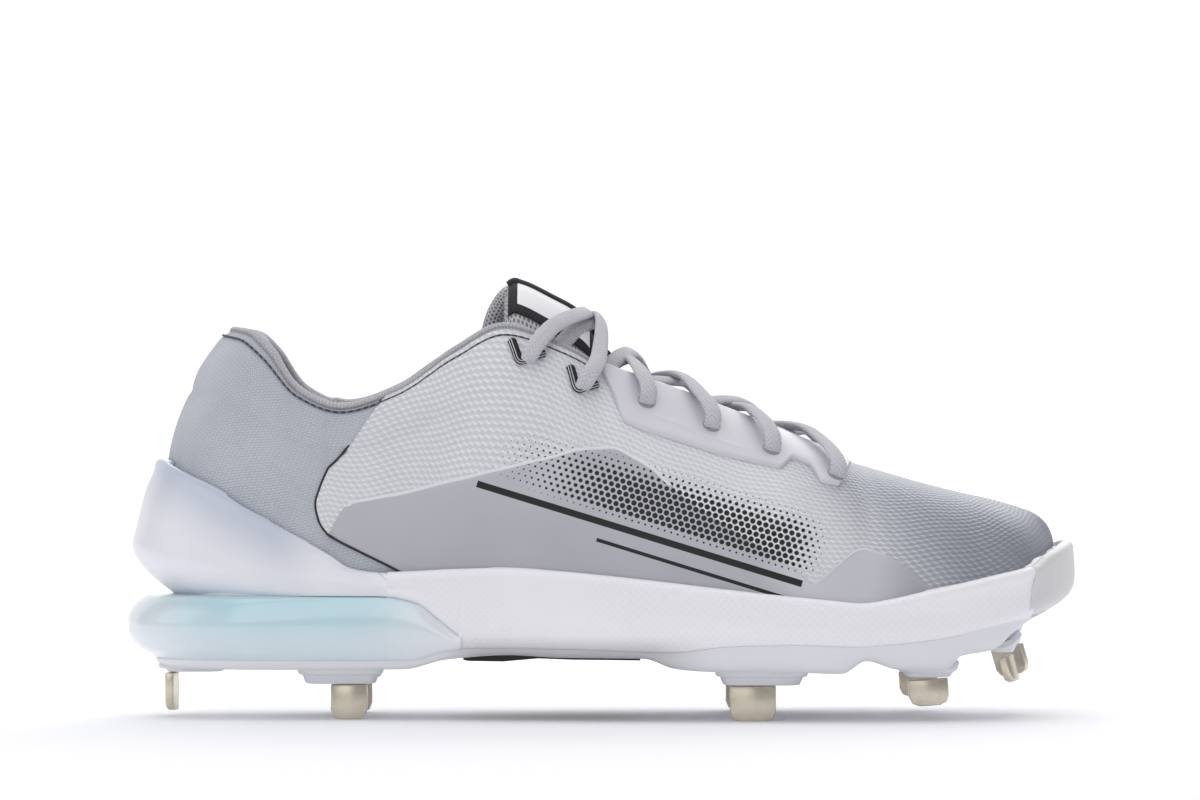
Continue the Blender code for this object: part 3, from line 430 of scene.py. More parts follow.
# The top line: height as a share of the local height, half gap as a share of the ball width
RIM = Table(
    "x height half",
    (0.447, 0.521, 0.000),
    (0.417, 0.543, 0.000),
    (0.377, 0.565, 0.000),
    (0.333, 0.591, 0.000),
    (0.293, 0.619, 0.000),
    (0.263, 0.641, 0.000),
    (0.250, 0.653, 0.072),
    (0.227, 0.677, 0.100),
    (0.154, 0.749, 0.125),
    (0.076, 0.823, 0.150),
    (0.004, 0.886, 0.175),
    (-0.043, 0.948, 0.200),
    (-0.102, 1.000, 0.228),
    (-0.153, 0.943, 0.262),
    (-0.212, 0.845, 0.290),
    (-0.271, 0.800, 0.295),
    (-0.314, 0.842, 0.270),
    (-0.347, 0.946, 0.215),
    (-0.368, 0.991, 0.147),
    (-0.387, 1.000, 0.000),
)
RIDGE_ROWS = 6
LAST_THROAT_X = 0.280
ANKLE_X = -0.283

# The middle line of the top: how far it leans to the medial side, as a share of the ball width
MIDDLE_LINE = Table(
    "x lean",
    (-0.45, 0.000),
    (-0.30, 0.000),
    (-0.10, 0.018),
    (0.15, 0.034),
    (0.30, 0.044),
    (0.48, 0.059),
)

# How each rib of the upper leaves the sole and reaches the top line: angles in degrees
RIB = Table(
    "w spread start_reach rise end_reach",
    (0.00, 6, 0.45, 20, 0.45),
    (0.50, 9, 0.40, 5, 0.48),
    (1.00, 9, 0.38, 0, 0.45),
    (1.20, 8, 0.36, 18, 0.42),
    (1.33, 8, 0.35, 30, 0.40),
    (1.67, 5, 0.35, 58, 0.36),
    (2.00, 8, 0.40, 80, 0.35),
    (2.50, 16, 0.42, 62, 0.40),
    (3.00, 18, 0.42, 50, 0.40),
)

# The footbed's height, as a share of the sidewall height
FOOTBED = Table(
    "x height",
    (-0.443, 0.979),
    (-0.333, 0.968),
    (-0.200, 0.926),
    (-0.083, 0.840),
    (0.033, 0.745),
    (0.150, 0.638),
    (0.267, 0.574),
    (0.367, 0.628),
    (0.433, 0.745),
    (0.478, 0.862),
)

DENSE = 24


def rim_line():
    """The top line as dense points of x, half gap and height, with the place w of each."""
    x = RIM.rows[::-1, 0] * LENGTH
    half = RIM.rows[::-1, 2] * BALL_WIDTH
    height = RIM.rows[::-1, 1] * local_height(RIM.rows[::-1, 0])
    knots = travelled(np.hypot(np.hypot(np.diff(x), np.diff(half)), np.diff(height)))
    at = np.linspace(0, knots[-1], DENSE * len(knots))
    columns = [hermite(knots, v, even_slopes(knots, v), at) for v in (x, half, height)]
    throat = knots[RIDGE_ROWS - 1]
    ankle = np.interp(-ANKLE_X * LENGTH, -columns[0], at)
    return np.stack(columns, axis=1), np.interp(at, [0, throat, ankle, knots[-1]], [0, 1, 2, 3])


def plan_sides(table):
    """Each side of a plan outline as dense points from toe to heel, with the place w of each."""
    rows = table.rows[::-1]
    x = rows[:, 0] * LENGTH
    width = local_width(rows[:, 0])
    lateral = np.stack([x, rows[:, 1] * width], axis=1)
    medial = np.stack([x, rows[:, 2] * width], axis=1)
    loop = np.vstack([lateral, medial[-2:0:-1]])
    around = np.vstack([loop, loop, loop, loop[:1]])
    knots = travelled(np.hypot(*np.diff(around, axis=0).T))
    slopes = np.gradient(around, knots, axis=0)
    count = len(loop)
    heel = count + len(rows) - 1
    sides = {}
    for side, first, last in ((-1, count, heel), (1, 2 * count, heel)):
        at = np.linspace(knots[first], knots[last], DENSE * len(rows))
        points = hermite(knots, around, slopes, at)
        travel = travelled(np.hypot(*np.diff(points, axis=0).T))
        throat = np.interp(-LAST_THROAT_X * LENGTH, -points[:, 0], travel)
        ankle = np.interp(-ANKLE_X * LENGTH, -points[:, 0], travel)
        places = np.interp(travel, [0, throat, ankle, travel[-1]], [0, 1, 2, 3])
        near = 1e-4
        tangent = hermite(knots, around, slopes, at + near) - hermite(knots, around, slopes, at - near)
        tangent *= -side / np.linalg.norm(tangent, axis=1)[:, None]
        outward = np.stack([-tangent[:, 1], tangent[:, 0]], axis=1) * -side
        sides[side] = (places, points, outward)
    return sides


RIM_LINE, RIM_PLACES = rim_line()
SOLE_SIDES = plan_sides(SOLE_PLAN)
LAST_SIDES = plan_sides(LAST_PLAN)


def on_outline(sides, w):
    """Plan point and outward direction of an outline at the signed place w."""

    def read(side, part):
        places, values = sides[side][0], sides[side][part]
        return np.stack([np.interp(np.abs(w), places, column) for column in values.T], axis=-1)

    lateral = w[..., None] < 0
    point, outward = (np.where(lateral, read(-1, part), read(1, part)) for part in (1, 2))
    return point, unit(outward)


def rib_ends(w):
    """Where each rib of the upper starts on the footbed and where it ends on the top line."""
    plan, outward = on_outline(LAST_SIDES, w)
    floor = FOOTBED.read("height", plan[..., 0] / LENGTH) * SIDEWALL_HEIGHT + CLEARANCE
    start = np.concatenate([plan, floor[..., None]], axis=-1)
    x, half, height = (np.interp(np.abs(w), RIM_PLACES, RIM_LINE[:, axis]) for axis in range(3))
    half = np.where(np.abs(w) <= THROAT_FRONT, 0, half)
    lean = MIDDLE_LINE.read("lean", x / LENGTH) * BALL_WIDTH
    end = np.stack([x, lean + np.sign(w) * half, height], axis=-1)
    return start, end, outward


def skin_point(w, t):
    """A point of the upper's outer face: t runs from 0 on the footbed to 1 on the top line."""
    w, t = np.broadcast_arrays(np.asarray(w, float), np.asarray(t, float))
    w = np.where(w > 3, w - 6, np.where(w < -3, w + 6, w))
    start, end, outward = rib_ends(w)
    reach = np.linalg.norm(end - start, axis=-1, keepdims=True)
    place = np.abs(w)
    spread = np.radians(RIB.read("spread", place))[..., None]
    rise = np.radians(RIB.read("rise", place))[..., None]
    out = np.concatenate([outward, np.zeros_like(outward[..., :1])], axis=-1)
    up = np.array([0.0, 0.0, 1.0])
    inward = unit((end - start) * np.array([1.0, 1.0, 0.0]))
    leaving = up * np.cos(spread) + out * np.sin(spread)
    arriving = inward * np.cos(rise) + up * np.sin(rise)
    first = start + RIB.read("start_reach", place)[..., None] * reach * leaving
    second = end - RIB.read("end_reach", place)[..., None] * reach * arriving
    t = t[..., None]
    return (1 - t) ** 3 * start + 3 * t * (1 - t) ** 2 * first + 3 * t * t * (1 - t) * second + t**3 * end


def skin_normal(w, t):
    """The outward direction of the upper's outer face."""
    w, t = np.broadcast_arrays(np.asarray(w, float), np.asarray(t, float))
    step = 0.02

    def raw(place):
        level = np.minimum(t, 1 - 2 * step)
        along = skin_point(place + step, level) - skin_point(place - step, level)
        across = skin_point(place, np.minimum(t + step, 1)) - skin_point(place, np.maximum(t - step, 0))
        return unit(np.cross(along, across))

    normal = raw(w)
    on_ridge = ((t > 0.999) & (np.abs(w) <= THROAT_FRONT))[..., None]
    return unit(np.where(on_ridge, normal + raw(-w), normal))


def lifted(w, t, lift):
    """A point off the upper's outer face by the lift, or inside it where that is below zero."""
    return skin_point(w, t) + skin_normal(w, t) * np.asarray(lift)[..., None]


def skin_share(w, height):
    """The share t at which the rib at w reaches a height."""
    shares = np.linspace(0, 1, 81)
    heights = skin_point(w[:, None], shares[None, :])[..., 2]
    return np.array([np.interp(h, row, shares) for h, row in zip(height, heights)])


def wall_thickness(w, t):
    """The upper's wall, thicker where the collar is padded."""
    padded = smoothstep(1.70, 2.00, np.abs(w)) * smoothstep(0.45, 0.90, t)
    return WALL + COLLAR_PADDING * padded


COLUMNS = 250
ROWS = 76

# Where the film ends behind the ankle, and the top edge of its smooth lower part
CUT_EDGE = Table(
    "t w",
    (0.00, 1.840),
    (0.04, 1.873),
    (0.10, 1.922),
    (0.20, 1.993),
    (0.28, 2.043),
    (0.38, 2.060),
    (0.47, 2.043),
    (0.65, 1.990),
    (0.80, 1.953),
    (0.90, 1.930),
    (1.00, 1.900),
)
FILM_EDGE = Table(
    "w t",
    (0.745, 0.000),
    (0.783, 0.165),
    (0.823, 0.200),
    (0.870, 0.255),
    (0.937, 0.310),
    (0.997, 0.340),
    (1.023, 0.350),
    (1.047, 0.325),
    (1.063, 0.290),
    (1.090, 0.235),
    (1.113, 0.195),
    (1.135, 0.235),
    (1.343, 0.475),
    (1.377, 0.530),
    (1.400, 0.570),
    (1.437, 0.605),
    (1.467, 0.625),
    (1.500, 0.605),
    (1.540, 0.570),
    (1.603, 0.500),
    (1.690, 0.440),
    (1.797, 0.430),
    (1.857, 0.425),
    (1.950, 0.410),
    (1.973, 0.365),
    (2.000, 0.215),
)
SKIN_LIFT = 0.0005
SKIN_COLOUR = colour(240, 241, 244)
SKIN_SHADE = colour(212, 215, 221)
TOE_COLOUR = colour(194, 198, 208)
KNIT_COLOUR = colour(176, 180, 190)
SKIN_LIGHT_END = 0.062
TOE_DARK_START = 0.112
CELL_LENGTH = 0.0022
CELL_HEIGHT = 0.0017
GRAIN_DEPTH = 0.00026

# The laid-out surface: the way round a side at mid height, and the lengths of a few ribs
ROUND_PLACES = np.linspace(0, 3, 400)
girth = skin_point(ROUND_PLACES, 0.45)
ROUND_LENGTHS = travelled(np.linalg.norm(np.diff(girth, axis=0), axis=1))
RIB_PLACES = np.array([0, 0.5, 1, 2, 3])
ribs = skin_point(-RIB_PLACES[:, None], np.linspace(0, 1, 60)[None, :])
RIB_LENGTHS = np.linalg.norm(np.diff(ribs, axis=1), axis=2).sum(axis=1)


def surface_spot(w, t):
    """Where a point lies on the laid-out surface: its way round from the toe, below zero on the
    lateral side, and its way up the rib, in metres."""
    w, t = np.broadcast_arrays(w, t)
    around = np.sign(w) * np.interp(np.abs(w), ROUND_PLACES, ROUND_LENGTHS)
    return np.stack([around, t * np.interp(np.abs(w), RIB_PLACES, RIB_LENGTHS)], axis=-1)


def creases(w, t):
    """Soft troughs across the ball, where the shoe bends, and one fold below the ankle. Each is a
    narrow bell along the side, strongest at its own share of the rib."""
    place = np.abs(w)
    depth = 0
    for middle, slant, width, share, deep in (
        (0.93, 0.10, 0.020, 0.62, 0.00034),
        (1.00, 0.14, 0.024, 0.58, 0.00030),
        (1.10, 0.10, 0.030, 0.50, 0.00022),
        (1.62, -0.25, 0.030, 0.45, 0.00035),
        (1.76, -0.22, 0.034, 0.60, 0.00030),
    ):
        off = (place - middle - slant * (t - share)) / width
        depth = depth + deep * np.exp(-off**2) * np.exp(-(((t - share) / 0.22) ** 2))
    return -depth


def collar_roll(w, t):
    """How far the foam of the collar stands out: a soft swell between the binding and a sewn line."""
    place = np.abs(w)
    along = smoothstep(1.62, 1.95, place)
    swell = smoothstep(0.70, 0.82, t) * (1 - smoothstep(0.93, 1.0, t))
    return along * (0.0013 * swell - 0.0004 * np.exp(-(((t - 0.72) / 0.018) ** 2)))


def skin_shell(name, w, t, outer, inner, open_top):
    """A closed shell over both sides between two lifts of the upper's face. w and t are grids of
    columns and rows for one side, and both sides share their points on the ridge of the toe.
    The wall is closed below, at its last column, and along its top where open_top is true."""
    layers = []
    spots = []
    for side in (-1, 1):
        for lift in (outer, inner):
            layers.append(lifted(side * w, t, lift(w, t)))
            spots.append(surface_spot(side * w, t))
    columns, rows = w.shape
    step = columns * rows
    index = np.arange(step).reshape(columns, rows)
    quads = [grid_faces(columns, rows) + part * step for part in range(4)]
    edges = [(index[:, 0], slice(None)), (index[-1, :], slice(None))]
    if w[0].min() > 1e-6:
        edges.append((index[0, :], slice(None)))
    edges.append((index[:, -1], open_top[:-1]))
    for base in (0, 2 * step):
        for edge, kept in edges:
            pairs = np.stack([edge[:-1], edge[1:], edge[1:] + step, edge[:-1] + step], axis=1)
            quads.append(pairs[kept] + base)
    return piece_of(name, np.array(layers), np.concatenate(quads), np.array(spots))


def weave(finish, along, across, size):
    """The relief of a plain cloth: threads that pass over and under each other."""
    turn = np.pi / size
    over = abs(finish.sine(along * turn)) * 0.5 + abs(finish.sine(across * turn)) * 0.5
    check = finish.whole(along / size) + finish.whole(across / size)
    odd = abs(finish.maths("MODULO", check, 2.0))
    return over * (odd * 0.35 + 0.65)


def embossed_cells(finish, along, across):
    """The film's grain: wavy ridges in rows, painted light as highlight, each broken into dashes
    that lie half a dash beside those of the next row. The rows run a little wavy over the shoe."""
    wave = finish.sine(along * 260.0) * 0.30 + finish.sine(along * 91.0) * 0.5
    rows = across / CELL_HEIGHT + wave
    row = finish.whole(rows)
    turn = (along / CELL_LENGTH + row * 0.5) * (2 * np.pi)
    height = finish.fraction(rows) * 2 - 1 + finish.sine(turn) * 0.30
    ridge = 1 - finish.fade(0.10, 0.85, abs(height))
    return ridge * (finish.sine(turn + 1.2) * 0.32 + 0.68)


knit = Finish("knit_heel", KNIT_COLOUR, 0.85, sheen_weight=0.25, sheen_roughness=0.5)
along, across = knit.surface()
thread = weave(knit, along + across * 0.6, across - along * 0.25, 0.0009)
blot = knit.noise(0.02)
mix = thread * 0.55 + blot * 0.35
knit.feed(base_color=knit.blend(mix, colour(158, 162, 174), colour(222, 226, 233)))
knit.raise_by(thread, 0.0004, 0.75)

places = np.linspace(0, 3, COLUMNS)
w, t = np.meshgrid(places, np.linspace(0, 1, ROWS), indexing="ij")
shell = skin_shell(
    "bootie",
    w,
    t,
    lambda w, t: collar_roll(w, t) + creases(w, t),
    lambda w, t: -wall_thickness(w, t),
    places > THROAT_FRONT,
)
dress(shell, knit, ["upper"])


# Skin
# The embossed film is silver white over the sides and darkens to a blue grey over the toes, as
# its coating does; higher up the toe the darkening is painted shade. A tint is printed on it,
# with a field of dots and two bars on each side.
PRINT_START = np.array([-0.047, 0.0900])
PRINT_END = np.array([0.074, 0.0530])
PRINT_WIDTH = 0.0235
DOT_PITCH = 0.0021
DOT_RADIUS = 0.00088
BAR_WIDTH = 0.0021
PRINT_COLOUR = colour(6, 6, 9)
# The rows of dots lie this share of the pitch apart, as in a honeycomb
DOT_ROW_SHARE = 0.866
# Each bar: how far below the middle in print widths, its start and end in print lengths, its width
PRINT_BARS = (
    (-0.56, 0.10, 0.93, BAR_WIDTH),
    (-0.80, 0.42, 1.02, BAR_WIDTH * 0.55),
)
FILM_DEPTH = 0.0007
TOP_OF_SKIN = 0.985


def printed(finish, x, z):
    """The generic print: a slanted field of dots whose size fades to its ends and edges, over a
    long bar and a shorter one, all straight."""
    run = PRINT_END - PRINT_START
    length = float(np.hypot(*run))
    run = run / length
    away = [x - float(PRINT_START[0]), z - float(PRINT_START[1])]
    along = away[0] * float(run[0]) + away[1] * float(run[1])
    up = away[1] * float(run[0]) - away[0] * float(run[1])
    row = finish.whole(up / (DOT_PITCH * DOT_ROW_SHARE))
    shift = abs(finish.maths("MODULO", row, 2.0)) * 0.5
    dx = finish.fraction(along / DOT_PITCH + shift) - 0.5
    dy = (finish.fraction(up / (DOT_PITCH * DOT_ROW_SHARE)) - 0.5) * DOT_ROW_SHARE
    distance = finish.maths("SQRT", dx * dx + dy * dy) * DOT_PITCH
    inside = finish.fade(0, length * 0.5, along) * (1 - finish.fade(length * 0.86, length, along))
    band = finish.fade(-PRINT_WIDTH * 0.5, -PRINT_WIDTH * 0.32, up)
    band = band * (1 - finish.fade(PRINT_WIDTH * 0.02, PRINT_WIDTH * 0.5, up))
    radius = inside * band * DOT_RADIUS
    dots = 1 - finish.fade(radius - 0.00012, radius + 0.00008, distance)
    dots = dots * (radius > 0.00012)
    bars = 0.0
    for low, first, last, thick in PRINT_BARS:
        across = abs(up - PRINT_WIDTH * low) < thick / 2
        ends = (along > length * first) * (along < length * last)
        bars = finish.most(across * ends, bars)
    return finish.most(dots, bars)


def skin_colours(finish, x, z, light, shade, toe):
    """The silver that darkens over the toes as its coating does, and higher up the toe as painted
    shade, with soft blots of its coating, under the print.
    """
    # Painted shade: the height term darkens the toe further back along its top than the coating does.
    dark = finish.fade(SKIN_LIGHT_END, TOE_DARK_START, x + z * 0.80 - 0.049)
    blots = finish.noise(0.035)
    base = finish.blend(finish.fade(0.35, 0.75, blots) * 0.30, light, shade)
    base = finish.blend(dark, base, toe)
    ink = printed(finish, x, z)
    return finish.blend(ink, base, PRINT_COLOUR), dark, ink


skin = Finish("embossed_skin", SKIN_COLOUR, 0.42, metallic=0.12, coat_weight=0.12, coat_roughness=0.35)
x, _, z = skin.place()
along, across = skin.surface()
cells = embossed_cells(skin, along, across)
tint, dark, ink = skin_colours(skin, x, z, SKIN_COLOUR, SKIN_SHADE, TOE_COLOUR)
fine = skin.noise(0.0006, 2.0)
tip = skin.fade(0.118, 0.142, x)
shown = (1 - tip) * (cells * 0.9 + fine * 0.15)
# Painted shade and highlight: the grain's valleys are darkened, and over the toe all but its ridges,
# which stay light as painted highlight.
valley_shade = (1 - cells) * (1 - tip)
tint = skin.blend(valley_shade * (0.42 + dark * 0.3) * (1 - ink), tint, colour(150, 153, 160))
tint = skin.blend(dark * (1 - shown * 0.75) * 0.8, tint, colour(135, 139, 150))
# Painted shade: the top of the toe is darkened further, as it lies in shade.
toe_top_shade = dark * skin.fade(0.052, 0.076, z + (x - 0.10) * 0.25)
tint = skin.blend(toe_top_shade * 0.5, tint, colour(122, 126, 137))
skin.feed(
    base_color=tint,
    roughness=0.36 + (1 - cells) * 0.18 + fine * 0.06 + ink * 0.1,
    metallic=(dark * 0.30 + 0.10) * (1 - ink),
    coat_weight=(1 - ink) * 0.12,
)
skin.raise_by(shown, GRAIN_DEPTH, 0.9)

share = np.linspace(0, 1, ROWS)
edge_w = CUT_EDGE.read("w", share)
w = np.linspace(0, 1, COLUMNS)[:, None] * edge_w[None, :]
# The columns keep clear of the throat's front, where the top line opens
middle = np.argmin(np.abs(w[:, -1] - 1.0))
w = w * np.interp(w / edge_w, [0, w[middle, -1] / edge_w[-1], 1], [1, 1 / w[middle, -1], 1])
w = np.minimum(w, edge_w[None, :])
t = np.broadcast_to(share[None, :], w.shape)
t = t * np.where(w > THROAT_FRONT, np.interp(w, [1.0, 1.04], [1.0, TOP_OF_SKIN]), 1.0)


def skin_lift(w, t):
    """How far the film's outer face stands off the upper, with its creases and its collar."""
    return SKIN_LIFT + creases(w, t) + collar_roll(w, t)


film = skin_shell(
    "skin", w, t, skin_lift, lambda w, t: skin_lift(w, t) - FILM_DEPTH, w[:, -1] > THROAT_FRONT
)
dress(film, skin)


def tube(name, path, out, up, wide, high, close_path=False, turns=20):
    """An oval carried along a path: out and up are its directions at each point, wide and high
    its half sizes. Its ends are drawn in to a point."""
    angle = np.arange(turns) * 2 * np.pi / turns
    wide = np.broadcast_to(wide, len(path)).copy()
    high = np.broadcast_to(high, len(path)).copy()
    if not close_path:
        wide[[0, -1]] = 0
        high[[0, -1]] = 0
    ring = out[:, None] * (np.cos(angle)[None, :] * wide[:, None])[..., None]
    ring = ring + up[:, None] * (np.sin(angle)[None, :] * high[:, None])[..., None]
    points = path[:, None] + ring
    travel = travelled(np.linalg.norm(np.diff(path, axis=0), axis=1))
    girth = np.sqrt(np.cos(angle) ** 2 * high.mean() ** 2 + np.sin(angle) ** 2 * wide.mean() ** 2)
    round_way = np.cumsum(girth) * 2 * np.pi / turns
    spots = np.stack(np.broadcast_arrays(travel[:, None], round_way[None, :]), axis=-1)
    faces = grid_faces(len(path), turns, close_rows=close_path, close_columns=True)
    return piece_of(name, points, faces, spots)


SIDES = ((-1, "lateral"), (1, "medial"))
EDGE_RADIUS = 0.00038
edge_finish = Finish("cut_edge", colour(46, 46, 53), 0.8)
share = np.linspace(0.03, 0.975, 200)
edge_w = CUT_EDGE.read("w", share)
for side, side_name in SIDES:
    out = skin_normal(side * edge_w, share)
    over_film = share < FILM_EDGE.read("t", edge_w)
    level = np.where(over_film, SKIN_LIFT + 0.0003, SKIN_LIFT * 0.6)
    path = lifted(side * edge_w, share, level + creases(edge_w, share))
    beside = unit(np.cross(out, np.gradient(path, axis=0)))
    cut_edge = tube(f"cut_edge_{side_name}", path, beside, out, EDGE_RADIUS, EDGE_RADIUS, turns=8)
    dress(cut_edge, edge_finish)


# Smooth film
# Along its lower edge the skin is pressed smooth and harder, from behind the ankle to the toes.
# Its top edge is a low welt, coloured light as painted highlight. It carries the same tint and
# print as the skin, with a painted highlight low at the front and high behind.
FILM_LIFT = 0.00035
FILM_COLOUR = colour(176, 177, 184)
FILM_LIGHT = colour(196, 197, 203)
FILM_ROWS = 40
PRESSED_DEPTH = 0.0004
WELT_WIDTH = 0.012
WELT_RADIUS = 0.00055

smooth_film = Finish(
    "smooth_film", FILM_COLOUR, 0.3, metallic=0.15, coat_weight=0.25, coat_roughness=0.25
)
x, _, z = smooth_film.place()
tint, dark, ink = skin_colours(smooth_film, x, z, FILM_COLOUR, FILM_LIGHT, colour(172, 176, 184))
haze = smooth_film.noise(0.05, 2.0)
fine = smooth_film.noise(0.0009, 2.0)
# Painted highlight: a lighter patch low at the front and a lighter band along the upper edge behind.
low_front = smooth_film.fade(0.045, 0.065, x) * (1 - smooth_film.fade(0.080, 0.100, x))
high_rear = smooth_film.fade(0.052, 0.078, z - x * 0.30 - 0.012)
high_rear = high_rear * (1 - smooth_film.fade(-0.02, 0.03, x))
film_highlight = (low_front * 0.75 + high_rear * 0.25) * (1 - ink)
smooth_film.feed(
    base_color=smooth_film.blend(film_highlight, tint, colour(214, 215, 221)),
    roughness=0.30 + haze * 0.12 + ink * 0.15,
    metallic=(1 - ink) * 0.15,
    coat_weight=(1 - ink) * 0.25,
)
smooth_film.raise_by(fine, 0.00003, 0.5)

film_w = np.unique(np.concatenate([np.linspace(0.745, 2.0, 240), FILM_EDGE.rows[:, 0]]))
edge_t = FILM_EDGE.read("t", film_w)
w, t = np.meshgrid(film_w, np.linspace(0, 1, FILM_ROWS), indexing="ij")
rise = t
t = t * np.maximum(edge_t, 0.004)[:, None]
cut_w = CUT_EDGE.read("w", t)
w = np.where(w > cut_w, cut_w + (w - cut_w) * 0.01, w)


def film_lift(w, t):
    """A thin face with a round welt along its top edge."""
    welt = np.exp(-(((1 - rise) * np.maximum(edge_t, 0.05)[:, None] / WELT_WIDTH) ** 2))
    return skin_lift(w, t) + FILM_LIFT * (0.45 + 0.9 * welt) * smoothstep(0, 0.03, 1.001 - rise)


pressed = skin_shell(
    "smooth_film", w, t, film_lift, lambda w, t: skin_lift(w, t) - PRESSED_DEPTH, film_w > 0
)
dress(pressed, smooth_film)

# Painted highlight: the welt is coloured near white for the light along the film's top edge.
welt_finish = Finish("film_welt", colour(226, 226, 231), 0.3, coat_weight=0.3)
places = film_w[(film_w > 1.36) & (film_w < 1.97)]
share = FILM_EDGE.read("t", places)
for side, side_name in SIDES:
    out = skin_normal(side * places, share)
    path = lifted(side * places, share, skin_lift(places, share) + FILM_LIFT * 0.2)
    beside = unit(np.cross(out, np.gradient(path, axis=0)))
    welt = tube(f"film_welt_{side_name}", path, beside, out, WELT_RADIUS, WELT_RADIUS * 0.6, turns=10)
    dress(welt, welt_finish)


# Collar binding
# A soft rib-knit tape is folded over the collar's edge, from under one side of the eyestay round
# the heel to the other, and sewn down with a dark line of stitches under its fold.
BINDING_RISE = 0.0022
BINDING_MARGIN = 0.0008
BINDING_DROP = 0.0009
BINDING_START = 1.47
RIB_SIZE = 0.0011
SEAM_RADIUS = 0.00035
SEAM_SHARE = 0.955
STITCH_LENGTH = 0.0024

binding_finish = Finish("rib_knit", colour(188, 188, 194), 0.9, sheen_weight=0.3)
along, around = binding_finish.surface()
rib = weave(binding_finish, along, around, RIB_SIZE)
speck = binding_finish.noise(0.0007, 2.0)
mix = rib * 0.6 + speck * 0.5
binding_finish.feed(
    base_color=binding_finish.blend(mix, colour(138, 138, 147), colour(206, 206, 211))
)
binding_finish.raise_by(rib, 0.0004, 0.7)

w = np.concatenate([-np.linspace(BINDING_START, 3, 260), np.linspace(3, BINDING_START, 260)[1:]])
thick = wall_thickness(w, 0.97)
out = skin_normal(w, 0.985)
up = unit(skin_point(w, 1.0) - skin_point(w, 0.96))
path = skin_point(w, 1.0) - out * (thick / 2)[:, None] - up * BINDING_DROP
binding = tube("collar_binding", path, out, up, thick / 2 + BINDING_MARGIN, BINDING_RISE)
dress(binding, binding_finish)

seam_finish = Finish("dark_stitch", colour(78, 80, 90), 0.8)
along, around = seam_finish.surface()
stitch = seam_finish.fade(0.25, 0.5, abs(seam_finish.fraction(along / STITCH_LENGTH) - 0.5) * 2)
seam_finish.feed(base_color=seam_finish.blend(stitch, colour(112, 114, 124), colour(62, 64, 72)))
seam_path = lifted(w, SEAM_SHARE, SEAM_RADIUS + 0.00005 + collar_roll(w, SEAM_SHARE))
seam = tube("collar_seam", seam_path, out, up, SEAM_RADIUS, SEAM_RADIUS, turns=8)
dress(seam, seam_finish)


# Tongue
# The tongue is a foam pad in a two-tone knit, bound to the vamp under the laces. It widens and
# turns up over the instep, where a dark tape with a plain white label is folded over it.
TONGUE_STATIONS = 150
TONGUE_TURNS = 72
TONGUE_ROUNDING = 0.012
LOOP_SIZE = 0.0011
TAB_HALF_WIDTH = 0.0135
LABEL_HALF_WIDTH = 0.0119
TAPE_HALF_WIDTH = 0.0022
TAPE_LIFT = 0.0016
TAB_FRONT = -0.004
TAB_BACK = -0.0985
TAB_STATIONS = 70
TAB_COLUMNS = 40
CORNER_HALF_WIDTH = 0.0032
CORNER_HALF_DEPTH = 0.0040

# The tongue: its top over the throat edge's inner face and its drop to the sides as shares of the
# instep height, its half width as a share of the ball width, its depth as a share of its thickness
TONGUE = Table(
    "x over depth half drop",
    (0.287, -0.004, 0.6, 0.108, 0.020),
    (0.250, -0.007, 0.8, 0.137, 0.028),
    (0.220, -0.014, 0.9, 0.147, 0.032),
    (0.154, -0.001, 1.0, 0.190, 0.052),
    (0.076, 0.012, 1.0, 0.215, 0.076),
    (0.027, 0.027, 1.1, 0.222, 0.100),
    (0.000, 0.053, 1.6, 0.226, 0.146),
    (-0.020, 0.108, 2.3, 0.226, 0.232),
    (-0.060, 0.117, 1.8, 0.232, 0.232),
    (-0.090, 0.121, 1.1, 0.234, 0.222),
    (-0.103, 0.095, 0.4, 0.230, 0.200),
)


def tongue_point(x, across, lift):
    """A point over the tongue's top face, at a share of the length and of its half width."""
    rim = RIM.read("height", x) * local_height(x)
    top = rim - WALL - CLEARANCE + TONGUE.read("over", x) * INSTEP_HEIGHT
    drop = TONGUE.read("drop", x) * INSTEP_HEIGHT
    half = TONGUE.read("half", x) * BALL_WIDTH
    middle = MIDDLE_LINE.read("lean", x) * BALL_WIDTH
    z = top - drop * across**2 + lift
    return np.stack(np.broadcast_arrays(x * LENGTH, middle + across * half, z), axis=-1)


def tongue_normal(x, across):
    step = 0.003
    along = tongue_point(x + step, across, 0.0) - tongue_point(x - step, across, 0.0)
    side = tongue_point(x, across + step, 0.0) - tongue_point(x, across - step, 0.0)
    return unit(np.cross(along, side))


tongue_x = np.linspace(TONGUE.rows[-1, 0], TONGUE.rows[0, 0], TONGUE_STATIONS)
turn = np.arange(TONGUE_TURNS) * 2 * np.pi / TONGUE_TURNS
ends = np.minimum(tongue_x[0] - tongue_x, tongue_x - tongue_x[-1]) / TONGUE_ROUNDING
ends = np.sqrt(1 - (1 - np.clip(ends, 0, 1)) ** 2)[:, None]
cosine, sine = np.cos(turn)[None, :], np.sin(turn)[None, :]
height = np.sign(sine) * np.abs(sine) ** 0.5
depth = (TONGUE.read("depth", tongue_x) * TONGUE_THICKNESS)[:, None]
across = np.sign(cosine) * np.abs(cosine) ** 0.75 * (0.965 + 0.035 * height) * (0.75 + 0.25 * ends)
lift = depth / 2 * (height * ends - 1)
points = tongue_point(np.broadcast_to(tongue_x[:, None], lift.shape), across, lift)
half = (TONGUE.read("half", tongue_x) * BALL_WIDTH)[:, None]
travel = travelled(np.linalg.norm(np.diff(points[:, TONGUE_TURNS // 4], axis=0), axis=1))
spots = np.stack(np.broadcast_arrays(travel[:, None], across * half), axis=-1)
faces = grid_faces(TONGUE_STATIONS, TONGUE_TURNS, close_columns=True).tolist()
for first in (0, (TONGUE_STATIONS - 1) * TONGUE_TURNS):
    faces.append(list(range(first, first + TONGUE_TURNS)))
tongue = piece_of("tongue_pad", points, faces, spots)

